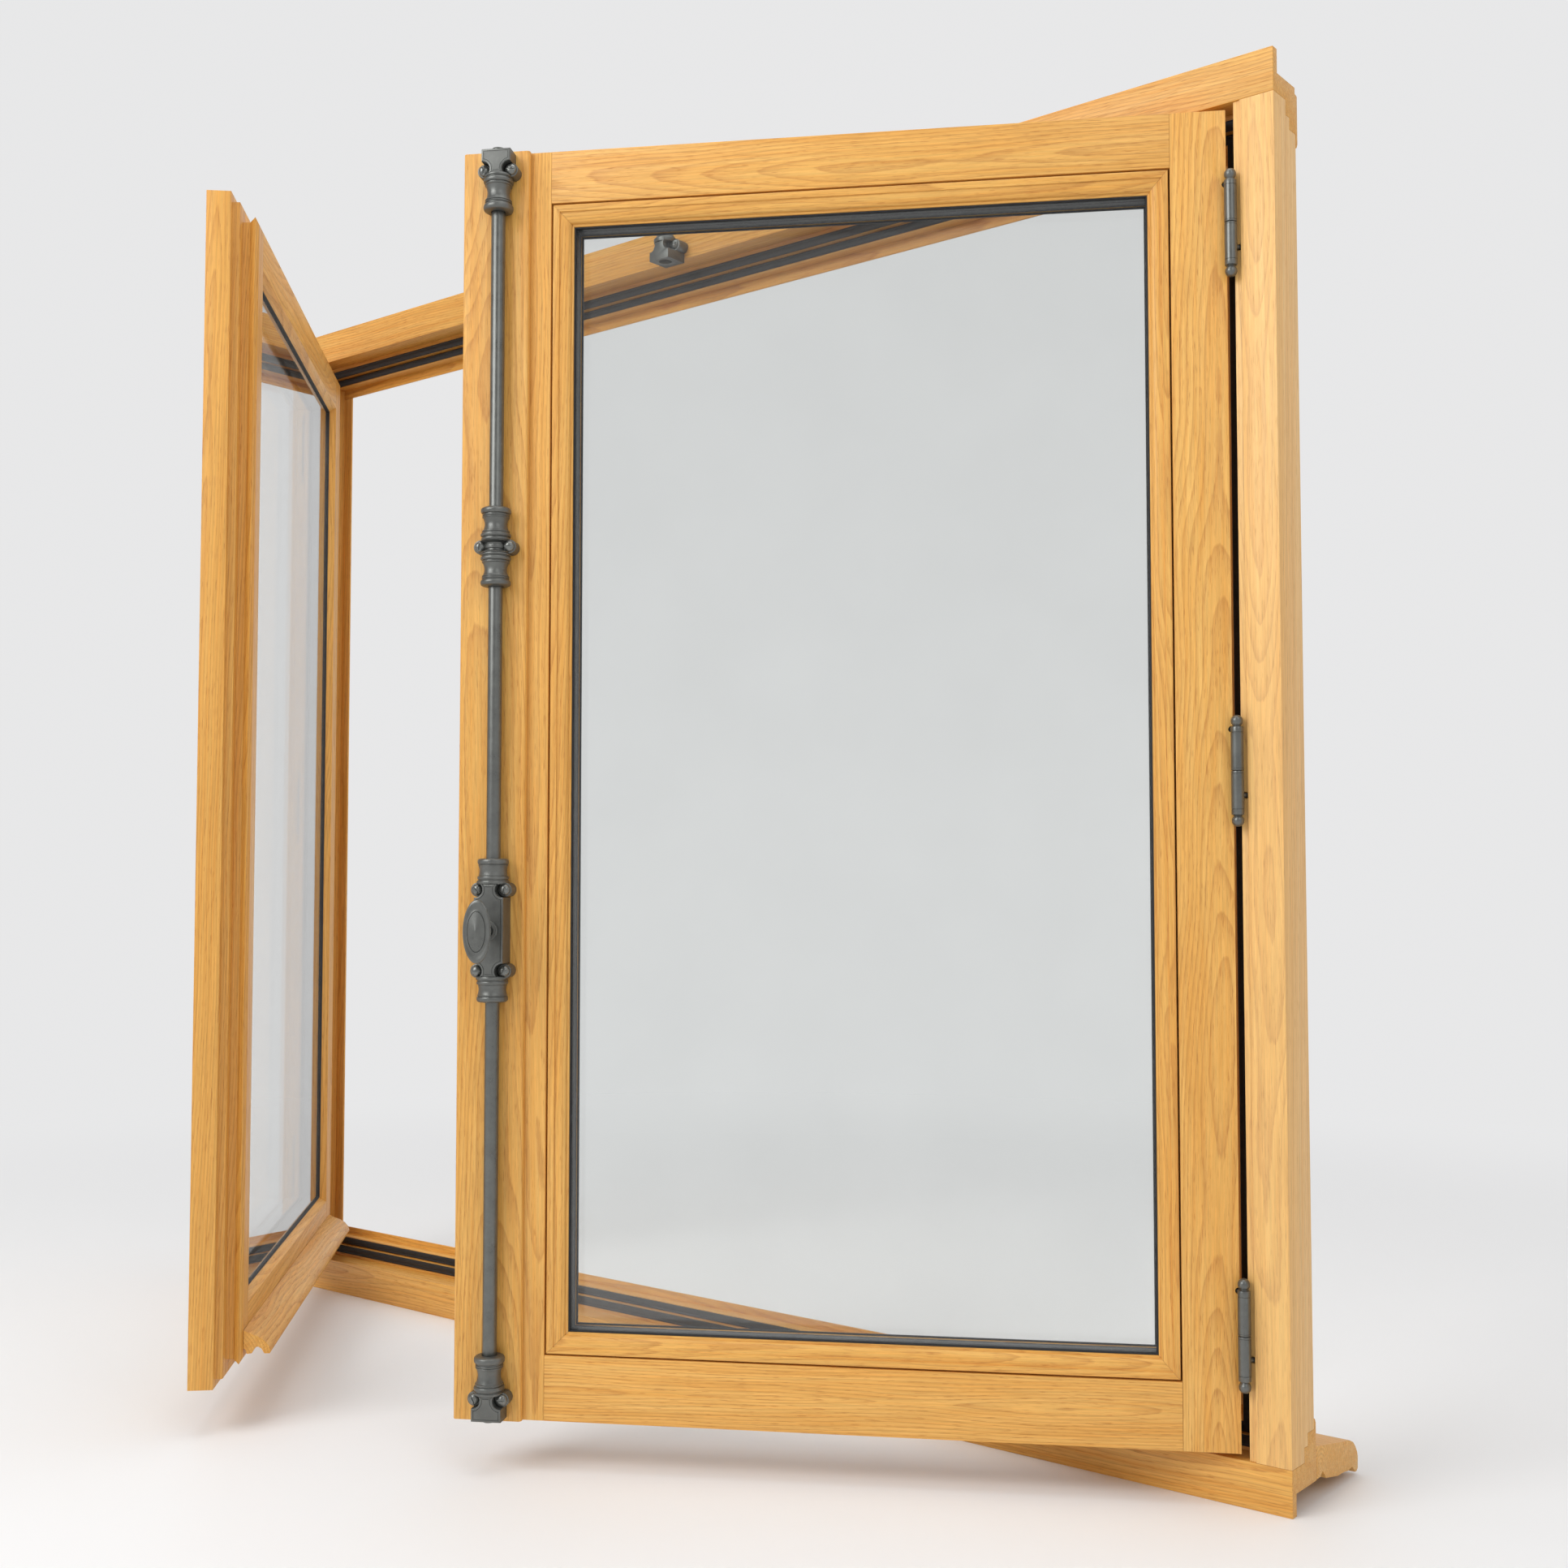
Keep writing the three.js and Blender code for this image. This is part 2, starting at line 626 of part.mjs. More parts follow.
const rightSash = new THREE.Group();
rightSash.position.set(HINGE_X, HINGE_Y, 0);
rightSash.rotation.z = THREE.MathUtils.degToRad(RIGHT_OPEN);
sash(rightSash, 'right', -1);
casement.add(rightSash);

// ---- cover strip of the right sash ----
const EASE = 3;
const STRIP_SECTION = [
  [STRIP_W / 2, STRIP_BACK],
  [STRIP_W / 2, STRIP_FRONT + EASE],
  [STRIP_W / 2 - 0.9, STRIP_FRONT + 0.9],
  [STRIP_W / 2 - EASE, STRIP_FRONT],
];
const stripLine = [
  ...STRIP_SECTION,
  ...STRIP_SECTION.map(([w, v]) => [-w, v]).reverse(),
].map(([w, v]) => [-HINGE_X + w, v]);
place(rightSash, 'cover_strip', alongZ(stripLine, SASH_Z0, SASH_Z1), OAK);

// ---- cremone bolt, in the right sash's own frame ----
const RX = -ROD_U;
// turned collar: [share of the length from the block, radius]
const COLLAR = [
  [0, 0.95],
  [0.07, 0.96],
  [0.1, 0.9],
  [0.14, 0.98],
  [0.22, 1],
  [0.28, 0.9],
  [0.34, 0.82],
  [0.5, 0.77],
  [0.64, 0.8],
  [0.7, 0.88],
  [0.77, 0.84],
  [0.82, 0.99],
  [0.93, 1.01],
  [0.98, 0.9],
  [1, 0.72],
];
const BOX_COLLAR = [
  [0, 1.06],
  [0.14, 1.1],
  [0.24, 0.98],
  [0.36, 1],
  [0.48, 0.92],
  [0.68, 0.93],
  [0.8, 1.02],
  [0.95, 1.02],
  [1, 0.9],
];
function collar(table, from, direction, length, axisX = RX, axisY = ROD_V, bore = BORE_R) {
  const rows = table.map(([share, r]) => [r * COLLAR_R, from + direction * share * length]);
  const end = rows.at(-1)[1];
  return turnedZ([[bore, from], ...rows, [bore, end], [bore, from]], axisX, axisY, 20);
}
// the fittings are flat where they lie on the strip
function flatBacked(body, z0, z1) {
  return body.subtract(box(RX - 40, RX + 40, SEAT_V, SEAT_V + 40, z0, z1));
}
function ears(xs, z, back, front) {
  return xs.map((x) => pegY(EAR_R, front, back, RX + x, z));
}
function scallops(xs, z, front) {
  return union(...xs.map((x) => pegY(EAR_R + 0.6, front - 60, front, RX + x, z)));
}

function endGuide(name, z, up) {
  const at = (h) => (up ? z + h : z - h);
  const block = box(
    RX - BLOCK_W / 2, RX + BLOCK_W / 2, SEAT_V - BLOCK_T, SEAT_V, at(-BLOCK_H), at(0),
  );
  const screwZ = at(-BLOCK_H + EAR_R - 3);
  const sides = [-EAR_X, EAR_X];
  const body = union(
    block.subtract(scallops(sides, screwZ, SEAT_V - EAR_T)),
    ...ears(sides, screwZ, SEAT_V, SEAT_V - EAR_T),
    collar(COLLAR, at(-BLOCK_H), up ? -1 : 1, COLLAR_L),
  ).subtract(rod(BORE_R, Math.min(at(1), at(-80)), Math.max(at(1), at(-80)), RX, ROD_V));
  place(rightSash, name, flatBacked(body, z - 100, z + 100), IRON);
}
endGuide('guide_top', SASH_Z1 - BLOCK_IN, true);
endGuide('guide_bottom', SASH_Z0 + BLOCK_IN, false);

const WAIST = 4;
const midHalf = MID_L / 2 - WAIST;
const midSides = [-EAR_X - 1, EAR_X + 1];
const midGuide = union(
  collar(COLLAR, MID_Z + WAIST, 1, midHalf),
  collar(COLLAR, MID_Z - WAIST, -1, midHalf),
  rod(COLLAR_R * 0.8, MID_Z - WAIST - 1, MID_Z + WAIST + 1, RX, ROD_V),
  ...ears(midSides, MID_Z, SEAT_V, SEAT_V - EAR_T),
).subtract(rod(BORE_R, MID_Z - MID_L, MID_Z + MID_L, RX, ROD_V));
place(rightSash, 'guide_middle', flatBacked(midGuide, MID_Z - 100, MID_Z + 100), IRON);

const RACK_REACH = STROKE + 4; // racks past the pinion at rest
const ROD_END = RACK_REACH + 12;
const RACK_END = ROD_END + 3;
const RACK_CLEAR = 0.45;
const rackHalfX = PINION_R + RACK_T + RACK_CLEAR;
const rackHalfY = RACK_W / 2 + RACK_CLEAR;
const channelHalf = RACK_END + STROKE + 1;
const boxHalf = BOX_H / 2;
const chamberHalf = boxHalf - 17;
const boxFront = SEAT_V - BOX_T;
const boxEnds = [BOX_Z - boxHalf, BOX_Z + boxHalf];
const boxSides = [-EAR_X, EAR_X];
const boxScrews = [BOX_Z - boxHalf + 6, BOX_Z + boxHalf - 6];
let gearbox = box(RX - BOX_W / 2, RX + BOX_W / 2, boxFront, SEAT_V, boxEnds[0], boxEnds[1]);
for (const z of boxScrews) {
  gearbox = union(
    gearbox.subtract(scallops(boxSides, z, SEAT_V - EAR_T - 3)),
    ...ears(boxSides, z, SEAT_V, SEAT_V - EAR_T - 3),
  );
}
gearbox = union(
  gearbox,
  collar(BOX_COLLAR, boxEnds[1], 1, BOX_COLLAR_L),
  collar(BOX_COLLAR, boxEnds[0], -1, BOX_COLLAR_L),
)
  .subtract(rod(BORE_R, BOX_Z - 120, BOX_Z + 120, RX, ROD_V))
  .subtract(
    box(RX - 12, RX + 12, boxFront + BOX_WALL, SEAT_V + 1, BOX_Z - chamberHalf, BOX_Z + chamberHalf),
  )
  .subtract(box(
    RX - rackHalfX, RX + rackHalfX, ROD_V - rackHalfY, ROD_V + rackHalfY,
    BOX_Z - channelHalf, BOX_Z + channelHalf,
  ))
  .subtract(pegY(SPINDLE_R + GAP, boxFront - 5, boxFront + 10, RX, BOX_Z));
place(rightSash, 'cremone_box', flatBacked(gearbox, BOX_Z - 120, BOX_Z + 120), IRON);

const NECK_R = 6;
const rose = turnedY([
  [NECK_R + 0.6, boxFront - GAP],
  [NECK_R + 5, boxFront - GAP],
  [NECK_R + 4.6, boxFront - 2],
  [NECK_R + 2.4, boxFront - 3.4],
  [NECK_R + 0.6, boxFront - 3.6],
  [NECK_R + 0.6, boxFront - GAP],
], RX, BOX_Z, 24);
place(rightSash, 'knob_rose', rose, IRON);

// knob: round neck and oval head, bored for the spindle
const rim = boxFront - KNOB_OUT;
const headProfile = [
  [0, rim + 11],
  [8, rim + 11],
  [KNOB_H / 2 - 9, rim + 5],
  [KNOB_H / 2 - 1.5, rim + 1.6],
  [KNOB_H / 2, rim],
  [KNOB_H / 2 - 2, rim - 1.6],
  [KNOB_H / 2 - 12, rim - 2],
  [KNOB_H / 2 - 13, rim - 3],
  [4, rim - 5],
  [0, rim - 5.4],
];
const head = new THREE.LatheGeometry(headProfile.map(([r, h]) => new THREE.Vector2(r, h)), 32);
head.scale(KNOB_W / KNOB_H, 1, 1).translate(RX, 0, BOX_Z);
const neck = turnedY([
  [0, rim + 4],
  [NECK_R + 1, rim + 8],
  [NECK_R - 0.5, rim + 18],
  [NECK_R - 0.5, boxFront - 8],
  [NECK_R, boxFront - 5],
  [NECK_R, boxFront - 0.8],
  [0, boxFront - 0.8],
], RX, BOX_Z, 16);
const socket = pegY(SPINDLE_R + GAP, rim + 12, boxFront + 2, RX, BOX_Z);
place(rightSash, 'knob', solid(head).add(neck).subtract(socket), IRON);

const spindle = turnedY([
  [0, rim + 12 + GAP],
  [SPINDLE_R, rim + 12 + GAP],
  [SPINDLE_R, ROD_V - 5],
  [PINION_R - GAP, ROD_V - 5],
  [PINION_R - GAP, ROD_V + 5],
  [0, ROD_V + 5],
], RX, BOX_Z, 20);
place(rightSash, 'knob_spindle', spindle, IRON);

// rods with plain racks on opposite sides of the pinion
function lockingRod(name, side, tip) {
  const toward = Math.sign(tip - BOX_Z);
  const [low, high] = [BOX_Z + toward * ROD_END, tip].sort((a, b) => a - b);
  const ease = 1;
  const shaft = turnedZ([
    [0, low],
    [ROD_R - ease, low],
    [ROD_R, low + ease],
    [ROD_R, high - ease],
    [ROD_R - ease, high],
    [0, high],
  ], RX, ROD_V, 20);
  const near = RX + side * PINION_R;
  const rack = box(
    near, near + side * RACK_T, ROD_V - RACK_W / 2, ROD_V + RACK_W / 2,
    BOX_Z - toward * RACK_REACH, BOX_Z + toward * RACK_END,
  );
  place(rightSash, name, shaft.add(rack), IRON);
}
lockingRod('rod_top', 1, ROD_TOP);
lockingRod('rod_bottom', -1, ROD_BOTTOM);

// ---- keepers on the frame, in line with the rods when the sash is shut ----
function keeper(name, up) {
  const z0 = up ? SASH_Z1 + KEEPER_GAP : SASH_Z0 - KEEPER_GAP;
  const at = (h) => (up ? z0 + h : z0 - h);
  const y0 = HINGE_Y + ROD_V;
  const back = FACE_Y - GAP;
  const front = y0 - KEEPER_FRONT;
  const block = box(
    ROD_X - BLOCK_W / 2, ROD_X + BLOCK_W / 2, front, back, at(0), at(KEEPER_BLOCK_H),
  );
  const screwZ = at(KEEPER_BLOCK_H - 6);
  const step = back - 18;
  const pegs = (radius, from, to) => union(
    pegY(radius, from, to, ROD_X - EAR_X, screwZ),
    pegY(radius, from, to, ROD_X + EAR_X, screwZ),
  );
  const dome = turnedZ([
    [0, at(KEEPER_BLOCK_H - 2)],
    [COLLAR_R * 0.92, at(KEEPER_BLOCK_H - 2)],
    [COLLAR_R * 0.95, at(KEEPER_BLOCK_H + 3)],
    [COLLAR_R * 0.8, at(KEEPER_BLOCK_H + 4.5)],
    [COLLAR_R * 0.78, at(KEEPER_BLOCK_H + 6)],
    [COLLAR_R * 0.6, at(KEEPER_BLOCK_H + KEEPER_DOME_H - 3)],
    [0, at(KEEPER_BLOCK_H + KEEPER_DOME_H)],
  ], ROD_X, y0, 20);
  const behind = box(ROD_X - 40, ROD_X + 40, back, back + 40, at(-9), at(60));
  const body = union(block.subtract(pegs(EAR_R + 0.6, front - 9, step)), pegs(EAR_R, step, back), dome)
    .subtract(rod(ROD_R + 0.9, at(-1), at(24), ROD_X, y0))
    .subtract(behind);
  place(casement, name, body, IRON);
}
keeper('keeper_top', true);
keeper('keeper_bottom', false);

export default casement;
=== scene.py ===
import json
import math
import random

import bmesh
import bpy
from mathutils import Matrix, Vector


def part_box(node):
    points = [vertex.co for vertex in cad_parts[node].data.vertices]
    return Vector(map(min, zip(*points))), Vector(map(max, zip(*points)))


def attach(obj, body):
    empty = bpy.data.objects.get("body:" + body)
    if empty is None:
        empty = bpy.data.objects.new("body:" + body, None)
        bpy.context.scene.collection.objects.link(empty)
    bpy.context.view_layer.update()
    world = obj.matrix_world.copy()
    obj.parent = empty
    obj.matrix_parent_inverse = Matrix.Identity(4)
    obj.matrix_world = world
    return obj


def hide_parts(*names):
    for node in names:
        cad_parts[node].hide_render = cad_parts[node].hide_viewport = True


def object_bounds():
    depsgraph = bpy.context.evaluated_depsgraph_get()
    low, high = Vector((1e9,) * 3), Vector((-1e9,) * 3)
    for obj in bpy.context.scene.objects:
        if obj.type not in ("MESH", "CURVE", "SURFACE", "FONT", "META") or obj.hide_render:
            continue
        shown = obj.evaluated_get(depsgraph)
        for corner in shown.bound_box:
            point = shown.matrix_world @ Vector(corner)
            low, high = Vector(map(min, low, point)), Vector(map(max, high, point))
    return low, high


bl_info = {
    "name": "Casement window finisher",
    "version": (1, 0, 0),
    "blender": (4, 5, 0),
    "location": "3D View > Sidebar > Casement",
    "description": "Gives a packed oak casement window its joinery detail, ironwork, glazing and studio",
    "category": "Object",
}

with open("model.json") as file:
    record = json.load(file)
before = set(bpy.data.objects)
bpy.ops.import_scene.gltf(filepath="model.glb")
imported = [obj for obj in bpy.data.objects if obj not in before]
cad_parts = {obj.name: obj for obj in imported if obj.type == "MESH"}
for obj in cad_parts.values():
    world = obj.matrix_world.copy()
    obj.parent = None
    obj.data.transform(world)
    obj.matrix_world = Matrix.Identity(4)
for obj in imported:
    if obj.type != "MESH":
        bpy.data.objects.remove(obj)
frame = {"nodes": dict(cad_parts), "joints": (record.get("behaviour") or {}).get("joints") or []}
CAD_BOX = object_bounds()
JOINTS = {joint["name"]: joint for joint in frame["joints"]}
MM = 0.001


# ---------------- settings


def length(name, description, default):
    return bpy.props.FloatProperty(
        name=name, description=description, default=default, min=0.0, unit="LENGTH", precision=5
    )


def share(name, description, default, high=1.0):
    return bpy.props.FloatProperty(
        name=name, description=description, default=default, min=0.0, max=high
    )


def colour(name, description, default):
    return bpy.props.FloatVectorProperty(
        name=name, description=description, default=default, size=3, min=0.0, max=1.0, subtype="COLOR"
    )


class CASEMENT_PG_oak(bpy.types.PropertyGroup):
    pale: colour("Pale wood", "Colour of the wood between the growth rings", (0.83, 0.485, 0.135))
    honey: colour("Honey wood", "Colour of the broad streaks", (0.74, 0.350, 0.062))
    dark: colour("Late wood", "Colour of the growth ring lines", (0.42, 0.140, 0.020))
    ring_gap: length("Ring gap", "Distance between growth rings", 0.0036)
    varnish: share("Varnish", "How strong the clear varnish is", 0.12)
    arris: length("Arris", "Rounding of the worked edges", 0.0009)


class CASEMENT_PG_iron(bpy.types.PropertyGroup):
    body: colour("Iron", "Colour of the bolt's castings", (0.150, 0.154, 0.145))
    hinge: colour("Hinge iron", "Colour of the hinge barrels", (0.150, 0.154, 0.145))
    roughness: share("Roughness", "Roughness of the castings", 0.36)
    screw_radius: length("Screw head radius", "Radius of the round screw heads", 0.0064)
    screw_height: length("Screw head height", "Height of the round screw heads", 0.0050)
    slot_width: length("Screw slot", "Width of the screws' slots", 0.0013)


class CASEMENT_PG_glazing(bpy.types.PropertyGroup):
    tint: colour("Glass tint", "Colour of the clear panes", (0.915, 0.925, 0.92))
    rubber: colour("Rubber", "Colour of the gaskets", (0.008, 0.008, 0.009))
    spacer: colour("Spacer", "Colour of the spacer bars", (0.060, 0.062, 0.062))


class CASEMENT_PG_stage(bpy.types.PropertyGroup):
    backdrop: colour("Backdrop", "Colour of the studio behind the window", (0.805, 0.805, 0.81))
    ambient: share("Ambient", "Strength of the light from all round", 0.72, 5.0)
    key: share("Key", "Power of the main softbox, in watts", 95.0, 2000.0)
    fill: share("Fill", "Power of the side softbox, in watts", 25.0, 2000.0)
    top: share("Top", "Power of the overhead softbox, in watts", 38.0, 2000.0)


class CASEMENT_PG_all(bpy.types.PropertyGroup):
    oak: bpy.props.PointerProperty(type=CASEMENT_PG_oak)
    iron: bpy.props.PointerProperty(type=CASEMENT_PG_iron)
    glazing: bpy.props.PointerProperty(type=CASEMENT_PG_glazing)
    stage: bpy.props.PointerProperty(type=CASEMENT_PG_stage)


def settings():
    return bpy.context.scene.casement


# ---------------- places


class Place:
    """A body's own frame: x across the shut window, y outdoors, z up, a sash's from its hinge."""

    def __init__(self, body, matrix=None):
        self.body = body
        self.matrix = matrix or Matrix.Identity(4)
        self.back = self.matrix.inverted()

    def points(self, node):
        return [self.back @ v.co for v in frame["nodes"][node].data.vertices]

    def box(self, node):
        """The node's lowest and highest corners."""
        points = self.points(node)
        return [Vector([pick(p[i] for p in points) for i in range(3)]) for pick in (min, max)]

    def middle(self, node, axis=2):
        low, high = self.box(node)
        return (low[axis] + high[axis]) / 2


def sash_place(hand):
    joint = JOINTS[f"{hand}_sash_hinge"]
    x, y = joint["pos_m"][:2]
    up = joint["axis"][2]
    rest = -math.radians(joint["range_deg"][0]) * up
    matrix = Matrix.Translation((x, y, 0)) @ Matrix.Rotation(rest, 4, "Z")
    return Place(f"{hand}_sash", matrix)


FRAME = Place("frame")
SASHES = {"left": sash_place("left"), "right": sash_place("right")}


# ---------------- meshes

AXIS = 1e-7  # a turned row nearer the axis than this is one point on it


def linked(name, data):
    """A new object in the scene."""
    made = bpy.data.objects.new(name, data)
    bpy.context.scene.collection.objects.link(made)
    return made


def finish_mesh(bm, name, material, body, nodes=(), sharp=28):
    """The mesh becomes a piece at the origin that rides on a body and stands for CAD nodes."""
    bm.normal_update()
    limit = math.radians(sharp)
    for face in bm.faces:
        face.smooth = True
    for edge in bm.edges:
        edge.smooth = len(edge.link_faces) == 2 and edge.calc_face_angle(0) < limit
    mesh = bpy.data.meshes.new(name)
    bm.to_mesh(mesh)
    bm.free()
    piece = linked(name, mesh)
    mesh.materials.append(material)
    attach(piece, body)
    if nodes:
        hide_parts(*nodes)
    return piece


class Solid:
    """Closed shells gathered in a body's own frame."""

    def __init__(self):
        self.bm = bmesh.new()

    def loft(self, rings, closed=False):
        """Rings of points joined one to the next, with flat ends or closed into a loop."""
        around = max(len(ring) for ring in rings)
        loops = []
        for ring in rings:
            made = [self.bm.verts.new(p) for p in ring]
            loops.append(made * (around // len(made)))
        faces = [] if closed else [loops[0][::-1], loops[-1]]
        for near, far in zip(loops, loops[1:] + (loops[:1] if closed else [])):
            for i in range(around):
                j = (i + 1) % around
                faces.append([near[i], near[j], far[j], far[i]])
        faces = [list(dict.fromkeys(face)) for face in faces]
        made = [self.bm.faces.new(face) for face in faces if len(face) > 2]
        bmesh.ops.recalc_face_normals(self.bm, faces=made)

    def turned(self, rows, at, axis="Z", segments=56, wide=1, change=None):
        """Rows of (radius, height) turned about an upright or front-to-back axis into a closed shell."""
        rings = []
        for radius, height in rows:
            rings.append([])
            for i in range(segments if radius > AXIS else 1):
                angle = 2 * math.pi * (i + 0.5) / segments
                a, b = radius * math.cos(angle) * wide, radius * math.sin(angle)
                p = Vector((a, b, height) if axis == "Z" else (a, height, b)) + Vector(at)
                rings[-1].append(change(p) if change else p)
        self.loft(rings, rows[0][0] > AXIS)

    def prism(self, outline, low, high, seat, ease=0.0, grooves=()):
        """An outline between two depths, with an eased edge and engraved lines on its far face."""
        sink = math.copysign(1, high - low)
        steps = [(0.0, low), (0.0, high - sink * ease)]
        if ease:
            steps += [(ease * 0.3, high - sink * ease * 0.3), (ease, high)]
        for inset, wide, deep in grooves:
            floor = high - sink * deep
            steps += [
                (inset, high), (inset + wide * 0.3, floor), (inset + wide * 0.7, floor), (inset + wide, high)
            ]
        rings = []
        for inset, depth in steps:
            rings.append([seat(a, b, depth) for a, b in inner_line(outline, inset)])
        self.loft(rings)

    def finish(self, place, name, material, slot, nodes=(), body=None, sharp=28):
        self.bm.transform(place.matrix)
        return finish_mesh(self.bm, name, material, body or place.body, nodes, sharp)


def inner_line(outline, inset):
    """The outline moved inwards by a distance, corner by corner."""
    if not inset:
        return list(outline)
    area = sum(a[0] * b[1] - b[0] * a[1] for a, b in zip(outline, outline[1:] + outline[:1]))
    sign = -1 if area > 0 else 1
    moved = []
    for i, (x, y) in enumerate(outline):
        (x0, y0), (x1, y1) = outline[i - 1], outline[(i + 1) % len(outline)]
        n1 = Vector((y - y0, x0 - x)).normalized() * sign
        n2 = Vector((y1 - y, x - x1)).normalized() * sign
        k = inset / max(0.35, 1 + n1.dot(n2))
        moved.append((x + (n1.x + n2.x) * k, y + (n1.y + n2.y) * k))
    return moved


def bulge(start, end, inner, outer, count=7):
    """Rows of a turned half-round between two heights."""
    turns = [math.pi * i / count for i in range(count + 1)]
    high, wide = (end - start) / 2, outer - inner
    return [(inner + wide * math.sin(t), start + high * (1 - math.cos(t))) for t in turns]


def cove(start, end, first, last, sag, count=9):
    """Rows of a turned hollow between two heights."""
    parts = [i / count for i in range(count + 1)]
    high, wide = end - start, last - first
    return [(first + wide * t - sag * math.sin(math.pi * t), start + high * t) for t in parts]


# ---------------- shader tools


class Tree:
    """Short calls for building a node tree."""

    def __init__(self, owner):
        self.nodes, self.links = owner.nodes, owner.links

    def feed(self, node, inputs):
        """Links sockets to a node's inputs and sets its plain values."""
        for key, value in inputs.items():
            if isinstance(value, bpy.types.Node):
                value = value.outputs[0]
            if isinstance(value, bpy.types.NodeSocket):
                self.links.new(value, node.inputs[key])
            else:
                node.inputs[key].default_value = value
        return node

    def node(self, kind, inputs=None, **values):
        made = self.nodes.new(kind)
        for key, value in values.items():
            setattr(made, key, value)
        return self.feed(made, inputs or {})

    def math(self, operation, a, b=0.0, clamp=False):
        return self.node("ShaderNodeMath", {0: a, 1: b}, operation=operation, use_clamp=clamp)

    def add(self, a, b):
        return self.math("ADD", a, b)

    def sub(self, a, b):
        return self.math("SUBTRACT", a, b)

    def mul(self, a, b, clamp=False):
        return self.math("MULTIPLY", a, b, clamp)

    def mix(self, factor, a, b, blend="MIX"):
        made = self.node("ShaderNodeMix", data_type="RGBA", blend_type=blend)
        plain = (bpy.types.NodeSocket, bpy.types.Node)
        a, b = [c if isinstance(c, plain) else (*c[:3], 1) for c in (a, b)]
        return self.feed(made, {0: factor, 6: a, 7: b}).outputs[2]

    def noise(self, vector, scale, detail=3.0, roughness=0.55):
        inputs = {"Vector": vector, "Scale": scale, "Detail": detail, "Roughness": roughness}
        return self.node("ShaderNodeTexNoise", inputs).outputs["Fac"]

    def spread(self, value, low, high, to_low=0.0, to_high=1.0, **more):
        inputs = {0: value, 1: low, 2: high, 3: to_low, 4: to_high}
        return self.node("ShaderNodeMapRange", inputs, **more)

    def scaled(self, vector, by):
        return self.node("ShaderNodeVectorMath", {0: vector, 1: by}, operation="MULTIPLY")

    def stretched(self, vector, along, across, *detail):
        """Noise with its own scale along and across the grain."""
        return self.noise(self.scaled(vector, (along, across, across)), 1.0, *detail)

    def length(self, vector):
        made = self.node("ShaderNodeVectorMath", {0: vector}, operation="LENGTH")
        return made.outputs["Value"]

    def grey(self, level):
        return self.node("ShaderNodeCombineColor", {0: level, 1: level, 2: level})

    def place(self, kind="Object"):
        return self.node("ShaderNodeTexCoord").outputs[kind]


def sockets(group, in_out, rows):
    """Named inputs or outputs of a node group, with their defaults."""
    for label, kind, *value in rows:
        socket = group.interface.new_socket(label, in_out=in_out, socket_type=f"NodeSocket{kind}")
        if value:
            socket.default_value = value[0]


def surface_group(name, inputs, build):
    """A shader group that gives colour, roughness and height at a place, made once."""
    group = bpy.data.node_groups.get(name)
    if not group:
        group = bpy.data.node_groups.new(name, "ShaderNodeTree")
        sockets(group, "INPUT", inputs)
        sockets(group, "OUTPUT", [("Color", "Color"), ("Roughness", "Float"), ("Height", "Float")])
        tree = Tree(group)
        source, result = tree.node("NodeGroupInput"), tree.node("NodeGroupOutput")
        tree.feed(result, dict(enumerate(build(tree, source.outputs))))
    return group


OAK_INPUTS = [
    ("Vector", "Vector"),
    ("Tone", "Float", 0.0),
    ("Pale", "Color", (0.8, 0.5, 0.2, 1)),
    ("Honey", "Color", (0.6, 0.3, 0.1, 1)),
    ("Dark", "Color", (0.4, 0.2, 0.05, 1)),
    ("Ring gap", "Float", 0.0036),
]


